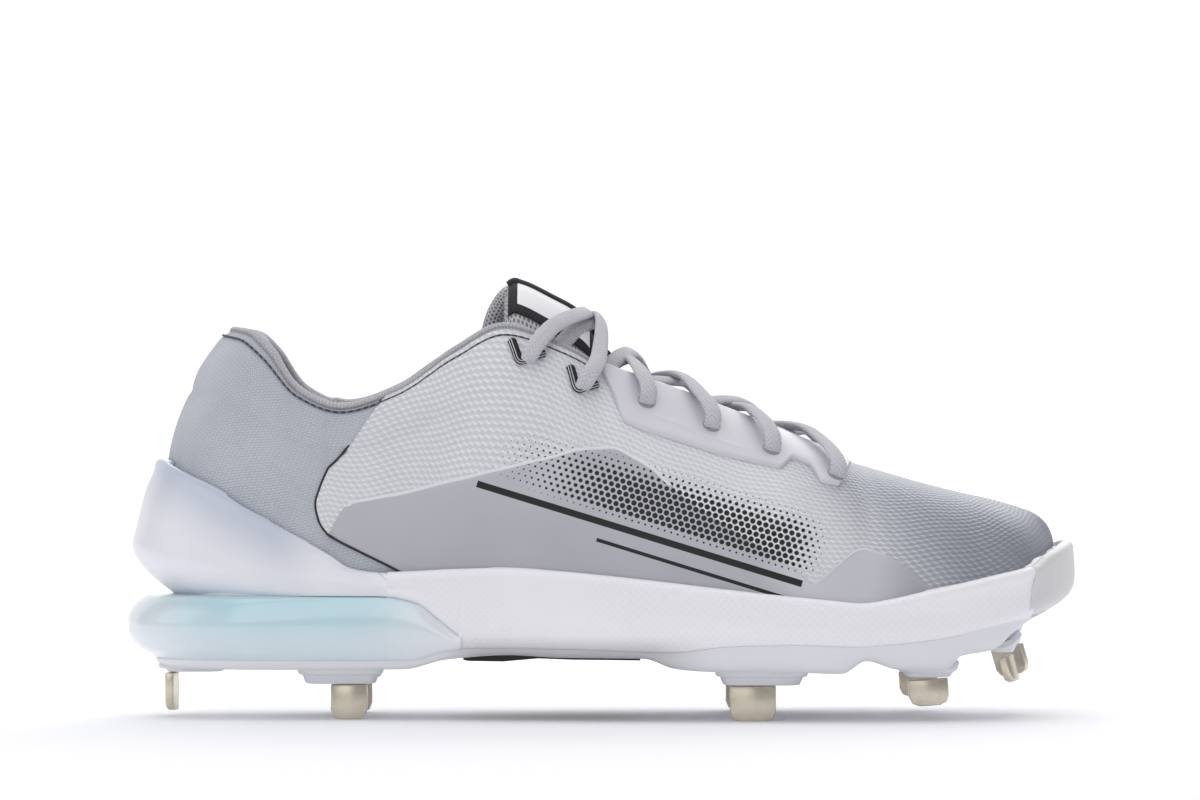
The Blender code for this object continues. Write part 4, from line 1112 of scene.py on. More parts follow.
knit_pad = Finish("two_tone_knit", colour(176, 176, 180), 0.9, sheen_weight=0.2)
along, across_way = knit_pad.surface()
course = across_way / LOOP_SIZE
dash = knit_pad.fraction(along / 0.0014 + knit_pad.whole(course) * 0.37)
dark_stitches = knit_pad.fade(0.42, 0.60, dash) * knit_pad.fade(0.25, 0.45, knit_pad.fraction(course))
loops = weave(knit_pad, along, across_way, LOOP_SIZE)
mix = dark_stitches * 0.8 + knit_pad.noise(0.004) * 0.2
knit_pad.feed(base_color=knit_pad.blend(mix, colour(208, 208, 212), colour(98, 98, 104)))
knit_pad.raise_by(loops + dark_stitches * 0.5, 0.0004, 0.8)
dress(tongue, knit_pad, ["tongue"])

tab_x = np.linspace(TAB_FRONT, TAB_BACK, TAB_STATIONS)[:, None]
tab_share = np.linspace(-1, 1, TAB_COLUMNS)[None, :]
tab_half = TAB_HALF_WIDTH / (TONGUE.read("half", tab_x) * BALL_WIDTH)
edge_soft = 1 - smoothstep(0.93, 1.0, np.abs(tab_share))
layers = []
for rise in (TONGUE_TAB_THICKNESS, 0.0):
    tab_lift = CLEARANCE + rise * (0.5 + 0.5 * edge_soft) + 0 * tab_x
    layers.append(tongue_point(tab_x + 0 * tab_share, tab_share * tab_half, tab_lift))
count = tab_x.size * tab_share.size
index = np.arange(count).reshape(tab_x.size, tab_share.size)
loop = np.concatenate([index[:-1, 0], index[-1, :-1], index[:0:-1, -1], index[0, :0:-1]])
border = np.stack([loop, np.roll(loop, -1), np.roll(loop, -1) + count, loop + count], axis=1)
quads = grid_faces(tab_x.size, tab_share.size)
faces = np.concatenate([quads, quads[:, ::-1] + count, border])
tab_travel = np.linalg.norm(np.diff(layers[0][:, TAB_COLUMNS // 2], axis=0), axis=1)
tab_travel = travelled(tab_travel)[:, None]
tab_spots = np.stack(np.broadcast_arrays(tab_travel, tab_share * TAB_HALF_WIDTH), axis=-1)
tab = piece_of("tongue_label_tape", layers, faces, [tab_spots, tab_spots])

# The tongue's far corner is padded and stands up beside the label: points of its middle line
CORNER_PATH = np.array(
    [
        (-0.0365, 0.0200, 0.1130),
        (-0.0356, 0.0198, 0.1200),
        (-0.0340, 0.0190, 0.1262),
        (-0.0316, 0.0178, 0.1308),
        (-0.0296, 0.0160, 0.1334),
        (-0.0284, 0.0146, 0.1342),
    ]
)
corner_steps = np.linspace(0, 1, 48)
corner_knots = np.linspace(0, 1, len(CORNER_PATH))
corner_slopes = np.gradient(CORNER_PATH, corner_knots, axis=0)
corner_way = hermite(corner_knots, CORNER_PATH, corner_slopes, corner_steps)
corner_run = unit(np.gradient(corner_way, axis=0))
corner_depth = unit(np.cross(corner_run, (-0.8, 0.0, 0.6)))
corner_out = np.cross(corner_depth, corner_run)
full = np.sqrt(np.clip(1 - corner_steps**6, 0.01, 1))
corner_pad = tube(
    "tongue_corner_pad",
    corner_way,
    corner_out,
    corner_depth,
    CORNER_HALF_WIDTH * full,
    CORNER_HALF_DEPTH * full,
)
dress(corner_pad, knit_pad)

tape = Finish("label_tape", colour(30, 29, 33), 0.7)
along, side_way = tape.surface()
tab_length = float(tab_travel[-1, 0])
field = (abs(side_way) < LABEL_HALF_WIDTH) * (abs(side_way) > TAPE_HALF_WIDTH)
field = field * (along > tab_length * 0.16) * (along < tab_length - 0.0035)
twill = tape.sine((along + side_way) * 5200.0) * 0.5 + 0.5
tape.feed(
    base_color=tape.blend(field, colour(36, 35, 39), colour(243, 243, 246)),
    roughness=0.75 - field * 0.25,
)
tape.raise_by(twill * (1 - field) + field * 2, 0.00012, 0.8)
dress(tab, tape, ["tongue_tab"])

ridge_x = np.linspace(0.010, TAB_BACK, 90)
ridge_path = tongue_point(ridge_x, 0.0, TAPE_LIFT)
ridge_along = unit(np.gradient(ridge_path, axis=0))
ridge_side = unit(np.cross(ridge_along, [0.0, 0.0, 1.0]))
ridge_up = unit(np.cross(ridge_side, ridge_along))
ridge_high = 0.0011 + 0.0005 * smoothstep(-0.085, -0.097, ridge_x)
ridge = tube("tongue_ridge_tape", ridge_path, ridge_side, ridge_up, TAPE_HALF_WIDTH, ridge_high)
ridge_finish = Finish("ridge_tape", colour(34, 33, 37), 0.7)
along, around = ridge_finish.surface()
ridge_finish.raise_by(weave(ridge_finish, along, around, 0.0007), 0.00012, 0.6)
dress(ridge, ridge_finish)


# Eyestay
# A smooth film overlay frames the throat and stiffens the rows of lace holes. It is cut with a
# scalloped lower edge, fused over the skin, and punched with four holes on each side.
EYESTAY_EDGE = 0.0016
EYESTAY_DEPTH = 0.0003
EYESTAY_SECTIONS = 260
EYESTAY_LEVELS = 40
# The lace holes, as places w and shares t
HOLES = ((1.067, 0.715), (1.183, 0.790), (1.293, 0.835), (1.410, 0.868))
HOLE_RADIUS = 0.0024
HOLE_RING = 0.00045
HOLE_TURNS = 32
RING_TURNS = 8
DISC_FLATTENING = 0.92

# The eyestay's lower edge, as the share up each rib
EYESTAY = Table(
    "w low",
    (0.986, 0.955),
    (1.000, 0.935),
    (1.030, 0.860),
    (1.045, 0.770),
    (1.062, 0.660),
    (1.090, 0.66),
    (1.113, 0.76),
    (1.140, 0.78),
    (1.170, 0.70),
    (1.240, 0.70),
    (1.360, 0.72),
    (1.450, 0.75),
    (1.474, 0.88),
    (1.490, 0.95),
)

stay_finish = Finish(
    "eyestay_film", colour(198, 196, 204), 0.38, coat_weight=0.2, coat_roughness=0.3
)
fine = stay_finish.noise(0.0011, 2.0)
blots = stay_finish.noise(0.02)
stay_finish.feed(
    base_color=stay_finish.blend(blots, colour(202, 201, 209), colour(218, 216, 223)),
    roughness=0.36 + fine * 0.10,
)
stay_finish.raise_by(fine, 0.00005, 0.5)

first, last = EYESTAY.rows[0, 0], EYESTAY.rows[-1, 0]
stay_w = np.unique(np.concatenate([np.linspace(first, last, EYESTAY_SECTIONS), [1.0]]))
w, rise = np.meshgrid(stay_w, np.linspace(0, 1, EYESTAY_LEVELS), indexing="ij")
low = EYESTAY.read("low", stay_w)[:, None]
t = low + (1 - low) * rise


def eyestay_lift(w, t):
    """Its thickness, rounded off at its cut edges, with one soft fold under the third hole."""
    reach = (t - low) * RIB_LENGTHS[2]
    away = np.minimum(reach, (last - w) * 0.165)
    edge = np.sqrt(np.clip(1 - (1 - np.clip(away / EYESTAY_EDGE, 0, 1)) ** 2, 0, 1))
    fold = 0.00035 * np.exp(-(((t - 0.775 - (w - 1.30) * 0.35) / 0.010) ** 2))
    fold = fold * smoothstep(1.17, 1.22, w)
    front = smoothstep(first, first + 0.06, w)
    level = EYESTAY_LIFT + EYESTAY_THICKNESS * (0.25 + 0.75 * edge)
    return level * (0.12 + 0.88 * front) + fold * (1 - smoothstep(1.36, 1.42, w))


eyestay = skin_shell(
    "eyestay_film", w, t, eyestay_lift, lambda w, t: 0 * t - EYESTAY_DEPTH, stay_w > THROAT_FRONT
)
dress(eyestay, stay_finish, ["eyestay"])


def punched_rings(radius, ring):
    """A round ring about the middle of each hole, laid on the eyestay."""
    turn = np.linspace(0, 2 * np.pi, HOLE_TURNS + 1)[:-1]
    profile = np.linspace(0, 2 * np.pi, RING_TURNS + 1)[:-1]
    points = []
    for side in (-1, 1):
        for hole_w, hole_t in HOLES:
            middle = skin_point(side * hole_w, hole_t)
            normal = skin_normal(side * hole_w, hole_t)
            ends = [skin_point(side * hole_w, hole_t + step) for step in (0.01, -0.01)]
            rib = unit(ends[0] - ends[1])
            across = np.cross(normal, rib)
            spoke = rib * np.cos(turn)[:, None] + across * np.sin(turn)[:, None]
            centre = middle + normal * (EYESTAY_LIFT + EYESTAY_THICKNESS)
            distance = (radius + ring * np.cos(profile))[None, :, None]
            height = (ring * np.sin(profile))[None, :, None]
            points.append(centre + spoke[:, None] * distance + normal * height)
    return np.array(points)


ring_points = punched_rings(HOLE_RADIUS, HOLE_RING)
ring_quads = grid_faces(HOLE_TURNS, RING_TURNS, close_rows=True, close_columns=True)
per_ring = HOLE_TURNS * RING_TURNS
faces = np.concatenate([ring_quads + per_ring * k for k in range(len(ring_points))])
rings = piece_of("punched_hole_rims", ring_points, faces)
ring_finish = Finish("punched_rim", colour(150, 149, 157), 0.45)
dress(rings, ring_finish)

# The dark disc of each hole, painted shade where the hole opens, is a full ring, flattened along
# the hole's axis
disc_points = punched_rings(HOLE_RADIUS * 0.5, HOLE_RADIUS * 0.5)
middles = disc_points.mean(axis=(1, 2), keepdims=True)
normals = np.array([skin_normal(side * w, t) for side in (-1, 1) for w, t in HOLES])
normals = normals[:, None, None]
height = ((disc_points - middles) * normals).sum(axis=-1, keepdims=True)
disc_points = disc_points - normals * height * DISC_FLATTENING
discs = piece_of("punched_holes", disc_points, faces)
dark_finish = Finish("hole_shade", colour(28, 27, 30), 0.9)
dress(discs, dark_finish)


# Webbing loops
# The two top lace holes of each side are loops of narrow dark webbing with two light lines, which
# come out through slots in the skin as a V.
WEBBING_HALF = 0.0014
WEBBING_RISE = 0.0010
WEBBING_LIFT = 0.0011
WEBBING_DIVE = 0.0012
# The corners of each V, as places w and shares t
LOOPS = {
    "eyelet_loop_rear": ((1.657, 0.930), (1.645, 0.848), (1.602, 0.915)),
    "eyelet_loop_front": ((1.552, 0.900), (1.541, 0.812), (1.503, 0.880)),
}

webbing_finish = Finish("webbing", colour(24, 23, 27), 0.75)
along, across_way = webbing_finish.surface()
line_place = webbing_finish.fraction(across_way / (WEBBING_HALF * 2))
lines = (abs(line_place - 0.36) < 0.055) + (abs(line_place - 0.64) < 0.055)
thread = weave(webbing_finish, along, across_way, 0.0006)
webbing_finish.feed(base_color=webbing_finish.blend(lines, colour(24, 23, 27), colour(205, 205, 210)))
webbing_finish.raise_by(thread, 0.0003, 0.8)


def loop_on_skin(name, w, t):
    """A loop of webbing through places of the skin, with both its ends pushed in under it."""
    knots = np.linspace(0, 1, len(w))
    at = np.linspace(0, 1, 60)
    smooth = np.clip((at - 0.5) * 1.35 + 0.5, 0, 1)
    line_w = np.interp(smooth, knots, w)
    line_t = np.interp(smooth, knots, t)
    blur = np.ones(9) / 9
    line_w = np.convolve(np.pad(line_w, 4, mode="edge"), blur, mode="valid")
    line_t = np.convolve(np.pad(line_t, 4, mode="edge"), blur, mode="valid")
    out = skin_normal(line_w, line_t)
    dive = np.minimum(at, 1 - at) / 0.10
    level = WEBBING_LIFT * np.clip(dive, -1, 1) - WEBBING_DIVE * (1 - np.clip(dive, 0, 1))
    path = skin_point(line_w, line_t) + out * level[:, None]
    along = unit(np.gradient(path, axis=0))
    side = unit(np.cross(along, out))
    up = unit(np.cross(side, along))
    return tube(name, path, side, up, WEBBING_HALF, WEBBING_RISE, turns=16)


for name, corners in LOOPS.items():
    for side, side_name in SIDES:
        loop_w, loop_t = np.array(corners).T
        loop = loop_on_skin(f"webbing_{name}_{side_name}", side * loop_w, loop_t)
        dress(loop, webbing_finish, [f"{name}_{side_name}"])


# Laces
# One flat-oval woven lace criss-crosses the throat. Each strand comes out of its hole, rises over
# the eyestay and the tongue, crosses its partner and dives under the far side.
# The lace: the share of the length at which each crossing lies, its lift there as a share of the
# tongue's thickness, and the share of the length at which it ends
LACE = {
    "lace_crossing_1": (0.186, 0.91, 0.155),
    "lace_crossing_2": (0.130, 0.86, 0.098),
    "lace_crossing_3": (0.070, 0.80, 0.040),
    "lace_crossing_4": (0.018, 0.78, 0.002),
    "lace_crossing_5": (-0.016, 0.50, -0.046),
}
# The last crossing starts at the front loop, and the top bar ends at the rear one
LOOP_HOLE = (1.530, 0.840)
TOP_BAR_HOLE = (1.628, 0.875)
TOP_BAR_EDGE_W = 1.598
TOP_BAR_X = -0.022
TOP_BAR_LIFT = 0.0016
LACE_HALF_WIDTH = 0.0027
LACE_HALF_HEIGHT = 0.00125
STRAND_ROOM = 0.0040
STRAND_GAP = 0.0006
LACE_POINTS = 110
CROSS_LIFT = 0.0011

lace_finish = Finish("woven_lace", colour(198, 196, 203), 0.85, sheen_weight=0.2)
along, around = lace_finish.surface()
chevron = abs(lace_finish.fraction(around / 0.0030) - 0.5)
braid = abs(lace_finish.fraction((along + chevron * 0.0028) / 0.00125) - 0.5) * 2
grain = lace_finish.noise(0.0005, 2.0)
mix = braid * 0.5 + grain * 0.45
lace_finish.feed(base_color=lace_finish.blend(mix, colour(182, 181, 189), colour(222, 221, 227)))
lace_finish.raise_by(braid + grain * 0.4, 0.00025, 0.8)


def strand(name, knots, points, ups):
    """A strand of the lace through given points, with its flat side turned along the ups."""
    points, ups = np.array(points), np.array(ups)
    at = np.linspace(0, 1, LACE_POINTS)
    slopes = np.gradient(points, knots, axis=0)
    path = hermite(knots, points, slopes, at)
    up = np.stack([np.interp(at, knots, column) for column in ups.T], axis=1)
    along = unit(np.gradient(path, axis=0))
    side = unit(np.cross(along, up))
    up = unit(np.cross(side, along))
    return tube(name, path, side, up, LACE_HALF_WIDTH, LACE_HALF_HEIGHT, turns=24)


over = EYESTAY_LIFT + EYESTAY_THICKNESS + LACE_HALF_HEIGHT + STRAND_GAP
for number, (name, (x, lift, x_end)) in enumerate(LACE.items()):
    hole_w, hole_t = (*HOLES, LOOP_HOLE)[number]
    for side, side_name in SIDES:
        above = side * (1 if number % 2 else -1) * CROSS_LIFT
        up = tongue_normal(x, 0.0)
        crest = tongue_point(x, 0.0, 0.0) + up * (lift * TONGUE_THICKNESS + above)
        start = lifted(side * hole_w, hole_t, over)
        edge_x = start[0] * 0.45 + crest[0] * 0.55
        edge_w = float(np.interp(-edge_x, -RIM_LINE[:, 0], RIM_PLACES))
        room = RIM.read("half", x_end) * BALL_WIDTH - STRAND_ROOM
        far = -side * room / (TONGUE.read("half", x_end) * BALL_WIDTH)
        end_up = tongue_normal(x_end, far)
        end = tongue_point(x_end, far, 0.0) + end_up * (CLEARANCE + LACE_HALF_HEIGHT)
        end_w = float(np.interp(-x_end * LENGTH, -RIM_LINE[:, 0], RIM_PLACES))
        under = lifted(-side * end_w, 0.94, -WALL - LACE_HALF_HEIGHT)
        out = skin_normal(side * hole_w, hole_t)
        made = strand(
            f"{name}_{side_name}",
            np.array([0.0, 0.09, 0.36, 0.62, 0.90, 1.0]),
            [
                lifted(side * hole_w, hole_t - 0.012, -0.001),
                start + out * 0.0004,
                lifted(side * edge_w, 0.985, over + 0.0007),
                crest,
                end,
                under,
            ],
            [out, out, skin_normal(side * edge_w, 0.985), up, end_up, end_up],
        )
        dress(made, lace_finish, [name] if side < 0 else ())

bar_w, bar_t = TOP_BAR_HOLE
bar_up = tongue_normal(TOP_BAR_X, 0.0)
bar_crest = tongue_point(TOP_BAR_X, 0.0, 0.0) + bar_up * (LACE_HALF_HEIGHT + TOP_BAR_LIFT)
bar_lift = LACE_HALF_HEIGHT + SKIN_LIFT + BINDING_MARGIN + 0.0009
half_bar = []
for side in (-1, 1):
    out = skin_normal(side * bar_w, bar_t)
    edge_w = side * TOP_BAR_EDGE_W
    half_bar.append(
        [
            (lifted(side * bar_w, bar_t - 0.012, -0.001), out),
            (lifted(side * bar_w, bar_t, bar_lift), out),
            (lifted(edge_w, 0.99, bar_lift + STRAND_GAP), skin_normal(edge_w, 0.98)),
        ]
    )
bar = [*half_bar[0], (bar_crest, bar_up), *half_bar[1][::-1]]
bar_knots = np.array([0, 0.06, 0.20, 0.5, 0.80, 0.94, 1.0])
top_bar = strand("lace_top_bar", bar_knots, [spot for spot, _ in bar], [out for _, out in bar])
dress(top_bar, lace_finish)


# Midsole
# The midsole is a white foam with a moulded skin. Its sidewall cups the upper behind a thin lip,
# pinches in below it, and swells again to the crease where the plate starts.
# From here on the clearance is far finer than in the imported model, so that no joint shows open
CLEARANCE = 0.00008
# Where the pieces of the sole end along its sides, and the step between two that meet
BUMPER_END = 0.40
CUSHION_NOSE = 1.763
CUP_FRONT = 1.893
JOINT_STEP = 0.0012
BUMPER_DIP = 0.0020
# The waist and the belly of the sidewall, as shares of its height under the lip
WAIST_SHARE = 0.55
BELLY_SHARE = 0.22
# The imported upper's rows, which the sole follows, and the sections of each part of a side
UPPER_ROWS = 12
SOLE_COLUMNS = (70, 120, 80)
# How near the next section comes to an end face, as a share of the step between sections, and
# the next level to a sharp corner
CAP_HOLD = 0.12
CORNER_HOLD = 0.06
# How far the ends of the cup and the cushion reach on inside the foam, in w, and how far the
# cushion's upper rim does, in metres
HIDDEN_END = 0.012
HIDDEN_RIM = 0.0003
DOT_STEP = 0.0024
# The arch is undercut: x and z from which its painted shade fades in, in metres
ARCH_SHADE_X = (-0.052, -0.036, 0.012, 0.036)
ARCH_SHADE_Z = (0.0205, 0.0275)

# Heights of the sole's lines, as shares of the sidewall height
TOP_EDGE = Table(
    "x height",
    (-0.500, 0.985),
    (-0.223, 0.989),
    (-0.150, 1.011),
    (-0.100, 1.019),
    (-0.043, 0.996),
    (0.037, 0.947),
    (0.117, 0.889),
    (0.187, 0.840),
    (0.233, 0.811),
    (0.267, 0.791),
    (0.300, 0.821),
    (0.333, 0.866),
    (0.373, 0.915),
    (0.413, 0.968),
    (0.456, 1.028),
    (0.470, 1.090),
    (0.500, 1.180),
)
CREASE = Table(
    "x height",
    (-0.500, 0.391),
    (-0.200, 0.396),
    (-0.167, 0.447),
    (-0.133, 0.479),
    (-0.033, 0.474),
    (0.067, 0.457),
    (0.133, 0.500),
    (0.200, 0.511),
    (0.260, 0.500),
    (0.310, 0.521),
    (0.360, 0.560),
    (0.393, 0.606),
    (0.433, 0.660),
    (0.467, 0.691),
    (0.500, 0.723),
)
BOTTOM = Table(
    "x height",
    (-0.500, 0.345),
    (-0.432, 0.332),
    (-0.207, 0.338),
    (-0.162, 0.404),
    (-0.097, 0.434),
    (-0.044, 0.419),
    (0.039, 0.417),
    (0.073, 0.349),
    (0.108, 0.332),
    (0.200, 0.328),
    (0.248, 0.321),
    (0.273, 0.406),
    (0.307, 0.349),
    (0.360, 0.340),
    (0.380, 0.432),
    (0.420, 0.466),
    (0.440, 0.564),
    (0.465, 0.647),
    (0.500, 0.690),
)
CUSHION_TOP = Table(
    "x height",
    (-0.500, 0.823),
    (-0.233, 0.823),
    (-0.193, 0.777),
    (-0.167, 0.651),
    (-0.150, 0.564),
)
CUP_TOP = Table(
    "x height",
    (-0.443, 1.734),
    (-0.427, 1.670),
    (-0.390, 1.532),
    (-0.367, 1.426),
    (-0.313, 1.223),
    (-0.287, 1.128),
    (-0.260, 1.021),
    (-0.240, 0.996),
    (-0.223, 0.989),
)

# How far each level of the sole lies inside its widest outline, in metres
SOLE_INSET = Table(
    "w edge lip waist belly crease shoulder foot",
    (0.00, 0.0024, 0.0010, 0.0000, 0.0012, 0.0090, 0.0125, 0.0200),
    (0.50, 0.0016, 0.0004, 0.0018, 0.0004, 0.0022, 0.0040, 0.0085),
    (1.00, 0.0014, 0.0002, 0.0022, 0.0000, 0.0010, 0.0022, 0.0060),
    (1.50, 0.0014, 0.0002, 0.0024, 0.0002, 0.0014, 0.0026, 0.0060),
    (2.00, 0.0014, 0.0002, 0.0016, 0.0002, 0.0030, 0.0040, 0.0060),
    (2.60, 0.0014, 0.0002, 0.0016, 0.0002, 0.0060, 0.0066, 0.0090),
    (3.00, 0.0014, 0.0002, 0.0016, 0.0002, 0.0095, 0.0100, 0.0120),
)


def off_outline(sides, w, lift, height):
    """A point outside an outline by the lift, at a height."""
    plan, outward = on_outline(sides, w)
    plan = plan + outward * np.broadcast_to(lift, w.shape)[:, None]
    return np.concatenate([plan, np.broadcast_to(height, w.shape)[:, None]], axis=1)


def inset_point(w, inset, height):
    """A point inside the sole's widest outline by the inset, at a height."""
    return off_outline(SOLE_SIDES, w, -inset, height)


def last_point(w, lift, height):
    """A point outside the last's bottom outline by the lift, at a height."""
    return off_outline(LAST_SIDES, w, lift, height)


def sole_height(table, w, sides=SOLE_SIDES):
    """The height of one of the sole's lines at the place w, read along an outline."""
    plan, _ = on_outline(sides, w)
    return table.read("height", plan[:, 0] / LENGTH) * SIDEWALL_HEIGHT


def last_height(table, w):
    """The height of a line that follows the last's outline at the place w."""
    return sole_height(table, w, LAST_SIDES)


def crease_ring(w):
    """The edge at which the midsole, or the cushion, meets the plate."""
    return inset_point(w, SOLE_INSET.read("crease", np.abs(w)), sole_height(CREASE, w))


def against_skin(w, top):
    """Levels of a face that lies against the upper, at the upper's own rows, up to a height."""
    last_row = skin_share(w, top)
    clear = np.full(len(w), CLEARANCE)
    rows = range(1, UPPER_ROWS // 2 + 2)
    levels = [lifted(w, np.minimum(row / UPPER_ROWS, last_row), clear) for row in rows]
    return levels + [lifted(w, last_row, clear)]


def sole_insets(w):
    """How far each level of the sidewall lies inside the widest outline, by its name."""
    return {name: SOLE_INSET.read(name, np.abs(w)) for name in SOLE_INSET.columns[1:]}


def midsole_levels(w):
    """Levels of the midsole from the footbed over the lip and down its side."""
    place = np.abs(w)
    bed = last_height(FOOTBED, w)
    top = sole_height(TOP_EDGE, w)
    inset = sole_insets(w)
    recess = np.where(place < BUMPER_END + JOINT_STEP / 2, BUMPER_THICKNESS + CLEARANCE, 0)
    crease = sole_height(CREASE, w)
    over_cushion = place > CUSHION_NOSE - 0.5 * JOINT_STEP
    foot = np.where(over_cushion, sole_height(CUSHION_TOP, w), crease) + CLEARANCE
    top = top - BUMPER_DIP * (1 - smoothstep(BUMPER_END * 0.5, BUMPER_END, place))
    lip_foot = top - LIP_BAND
    waist = foot + (lip_foot - foot) * WAIST_SHARE
    belly = foot + (lip_foot - foot) * BELLY_SHARE
    front = [
        last_point(w, CLEARANCE, bed),
        *against_skin(w, top),
        inset_point(w, inset["edge"] + recess, top),
        inset_point(w, inset["lip"] + recess, top - LIP_BAND * 0.35),
        inset_point(w, inset["lip"] + recess, lip_foot),
        inset_point(w, inset["lip"] + LIP_STEP + recess, lip_foot - LIP_STEP * 0.7),
        inset_point(w, inset["waist"] + recess, waist),
        inset_point(w, inset["belly"] + recess, belly),
        inset_point(w, inset["crease"] + recess * 0.3, foot),
    ]
    shares = np.linspace(0, 1, len(front))
    heel = [last_point(w, 0.0, bed + (foot - bed) * share) for share in shares]
    in_cup = (place > CUP_FRONT + JOINT_STEP / 2)[:, None]
    return [np.where(in_cup, a, b) for a, b in zip(heel, front)]


def sole_columns():
    """The places of the sole's sections along a side, with those at which its pieces meet."""
    parts = [np.linspace(k, k + 1, count) for k, count in enumerate(SOLE_COLUMNS)]
    joints = [BUMPER_END, BUMPER_END + JOINT_STEP, CUSHION_NOSE - JOINT_STEP, CUSHION_NOSE]
    joints += [CUP_FRONT, CUP_FRONT + JOINT_STEP]
    return np.unique(np.round(np.concatenate([*parts, joints]), 9))


def sole_piece(name, rings, caps=(), finer=1, corners=()):
    """A solid through closed sections, capped at the sections named, then rounded by subdivision.
    The levels named as corners stay sharp, because a close level is set on each side of them."""
    held = []
    for level in range(rings.shape[1]):
        point = rings[:, level]
        if level in corners:
            before, after = rings[:, level - 1], rings[:, (level + 1) % rings.shape[1]]
            near_before = point + (before - point) * CORNER_HOLD
            held += [near_before, point, point + (after - point) * CORNER_HOLD]
        else:
            held.append(point)
    rings = np.stack(held, axis=1)
    ends = sorted({cap % len(rings) for cap in caps})
    if finer and ends:
        near = [rings[0], rings[0] + (rings[1] - rings[0]) * CAP_HOLD]
        far = [rings[-1] + (rings[-2] - rings[-1]) * CAP_HOLD, rings[-1]]
        rings = np.stack([*near, *rings[1:-1], *far])
    count, around = rings.shape[:2]
    faces = grid_faces(count, around, close_columns=True).tolist()
    faces += [[(cap % count) * around + k for k in range(around)] for cap in caps]
    piece = piece_of(name, rings, faces)
    if finer:
        smoother = piece.modifiers.new("finer", "SUBSURF")
        smoother.levels = finer
        smoother.render_levels = finer
        smoother.boundary_smooth = "PRESERVE_CORNERS"
    return piece


def across_shoe(levels, places):
    """Rings that run down the lateral side and back up the medial side."""
    lateral, medial = (np.stack(levels(side * places), axis=1) for side in (-1, 1))
    return np.concatenate([lateral, medial[:, ::-1]], axis=1)


def arch_shade(finish, x, z):
    """Painted shade: the soft grey of the undercut under the waist, strongest at its lower edge."""
    first, full, fading, last = ARCH_SHADE_X
    along = finish.fade(first, full, x) * (1 - finish.fade(fading, last, x))
    return along * (1 - finish.fade(*ARCH_SHADE_Z, z))


def foam_finish(name, base, shade, roughness):
    """Moulded foam: nearly even, with a fine pebble, faint darker dots and blots, and painted shade
    under the arch.
    """
    finish = Finish(name, base, roughness, coat_weight=0.08, coat_roughness=0.4)
    x, _, z = finish.place()
    pebble = finish.noise(0.0007, 2.0)
    blots = finish.noise(0.03)
    dots = finish.sine(x * (2 * np.pi / DOT_STEP)) * finish.sine(z * (2 * np.pi / DOT_STEP))
    dots = finish.fade(0.15, 0.7, dots) * finish.fade(0.35, 0.6, finish.noise(0.05))
    pale = finish.blend(blots * 0.5 + dots * 0.25, base, shade)
    finish.feed(
        base_color=finish.blend(arch_shade(finish, x, z) * 0.8, pale, colour(176, 176, 180)),
        roughness=roughness + (pebble - 0.5) * 0.15,
    )
    finish.raise_by(pebble * 0.4 + dots, 0.00012, 0.5)
    return finish


foam = foam_finish("white_foam", colour(248, 247, 251), colour(236, 235, 242), 0.42)
sections = across_shoe(midsole_levels, sole_columns())
levels = sections.shape[1] // 2
midsole = sole_piece("midsole_foam", sections, corners=(levels - 1, levels))
dress(midsole, foam, ["midsole"])


# Heel cup
# A tall moulded cup clips the heel to the sole. It is a milky plastic: nearly clear in its thin
# upper band, where the cloth tints it, and white where it thickens towards the cushion.
# Its edge's thickness at the front and what the back adds, and its inset from the widest outline
CUP_EDGE = 0.0024
CUP_BACK_EDGE = 0.0022
CUP_INSET = 0.0012
# Down its wall: the share of its height, and how far it bulges beyond an even lean
CUP_BULGES = (
    (0.88, 0.12),
    (0.72, 0.16),
    (0.58, 0.13),
    (0.45, 0.10),
    (0.32, 0.07),
    (0.20, 0.04),
    (0.10, 0.02),
)
# Under its belly: the share of the way in, and of the way down to its foot
CUP_FOOT = ((0, 0), (0.10, 0.2), (0.25, 0.4), (0.45, 0.6), (0.7, 0.8), (1, 1))

cup_places = sole_columns()
cup_places = cup_places[cup_places > CUP_FRONT - HIDDEN_END]
w = np.concatenate([-cup_places, cup_places[-2::-1]])
place = np.abs(w)
around_heel = smoothstep(1.9, 3.0, place)
top = last_height(CUP_TOP, w)
bed = last_height(FOOTBED, w)
foot = sole_height(CUSHION_TOP, w) + CLEARANCE
clear = np.full(len(w), CLEARANCE)
inner = [last_point(w, CLEARANCE, foot), last_point(w, CLEARANCE, bed), *against_skin(w, top)]
edge_thickness = CUP_EDGE + CUP_BACK_EDGE * around_heel
belly = bed + (0.0075 - 0.003 * (1 - around_heel)) * around_heel - 0.002 * (1 - around_heel)
outer = [lifted(w, skin_share(w, top - edge_thickness * 0.2), edge_thickness)]
for share, bulge in CUP_BULGES:
    level = belly + (top - belly) * share
    base = lifted(w, skin_share(w, level), clear)
    mix = np.clip((1 - share) ** 0.8 + bulge, 0, 1)
    outer.append(base + (inset_point(w, CUP_INSET, level) - base) * mix)
foot_inset = 0.0010 + 0.0125 * around_heel
for share, drop in CUP_FOOT:
    outer.append(inset_point(w, CUP_INSET + share * foot_inset, belly + (foot - belly) * drop))
sections = np.stack(inner + outer, axis=1)
cup = sole_piece("heel_cup_shell", sections, caps=(0, -1), corners=(0, sections.shape[1] - 1))

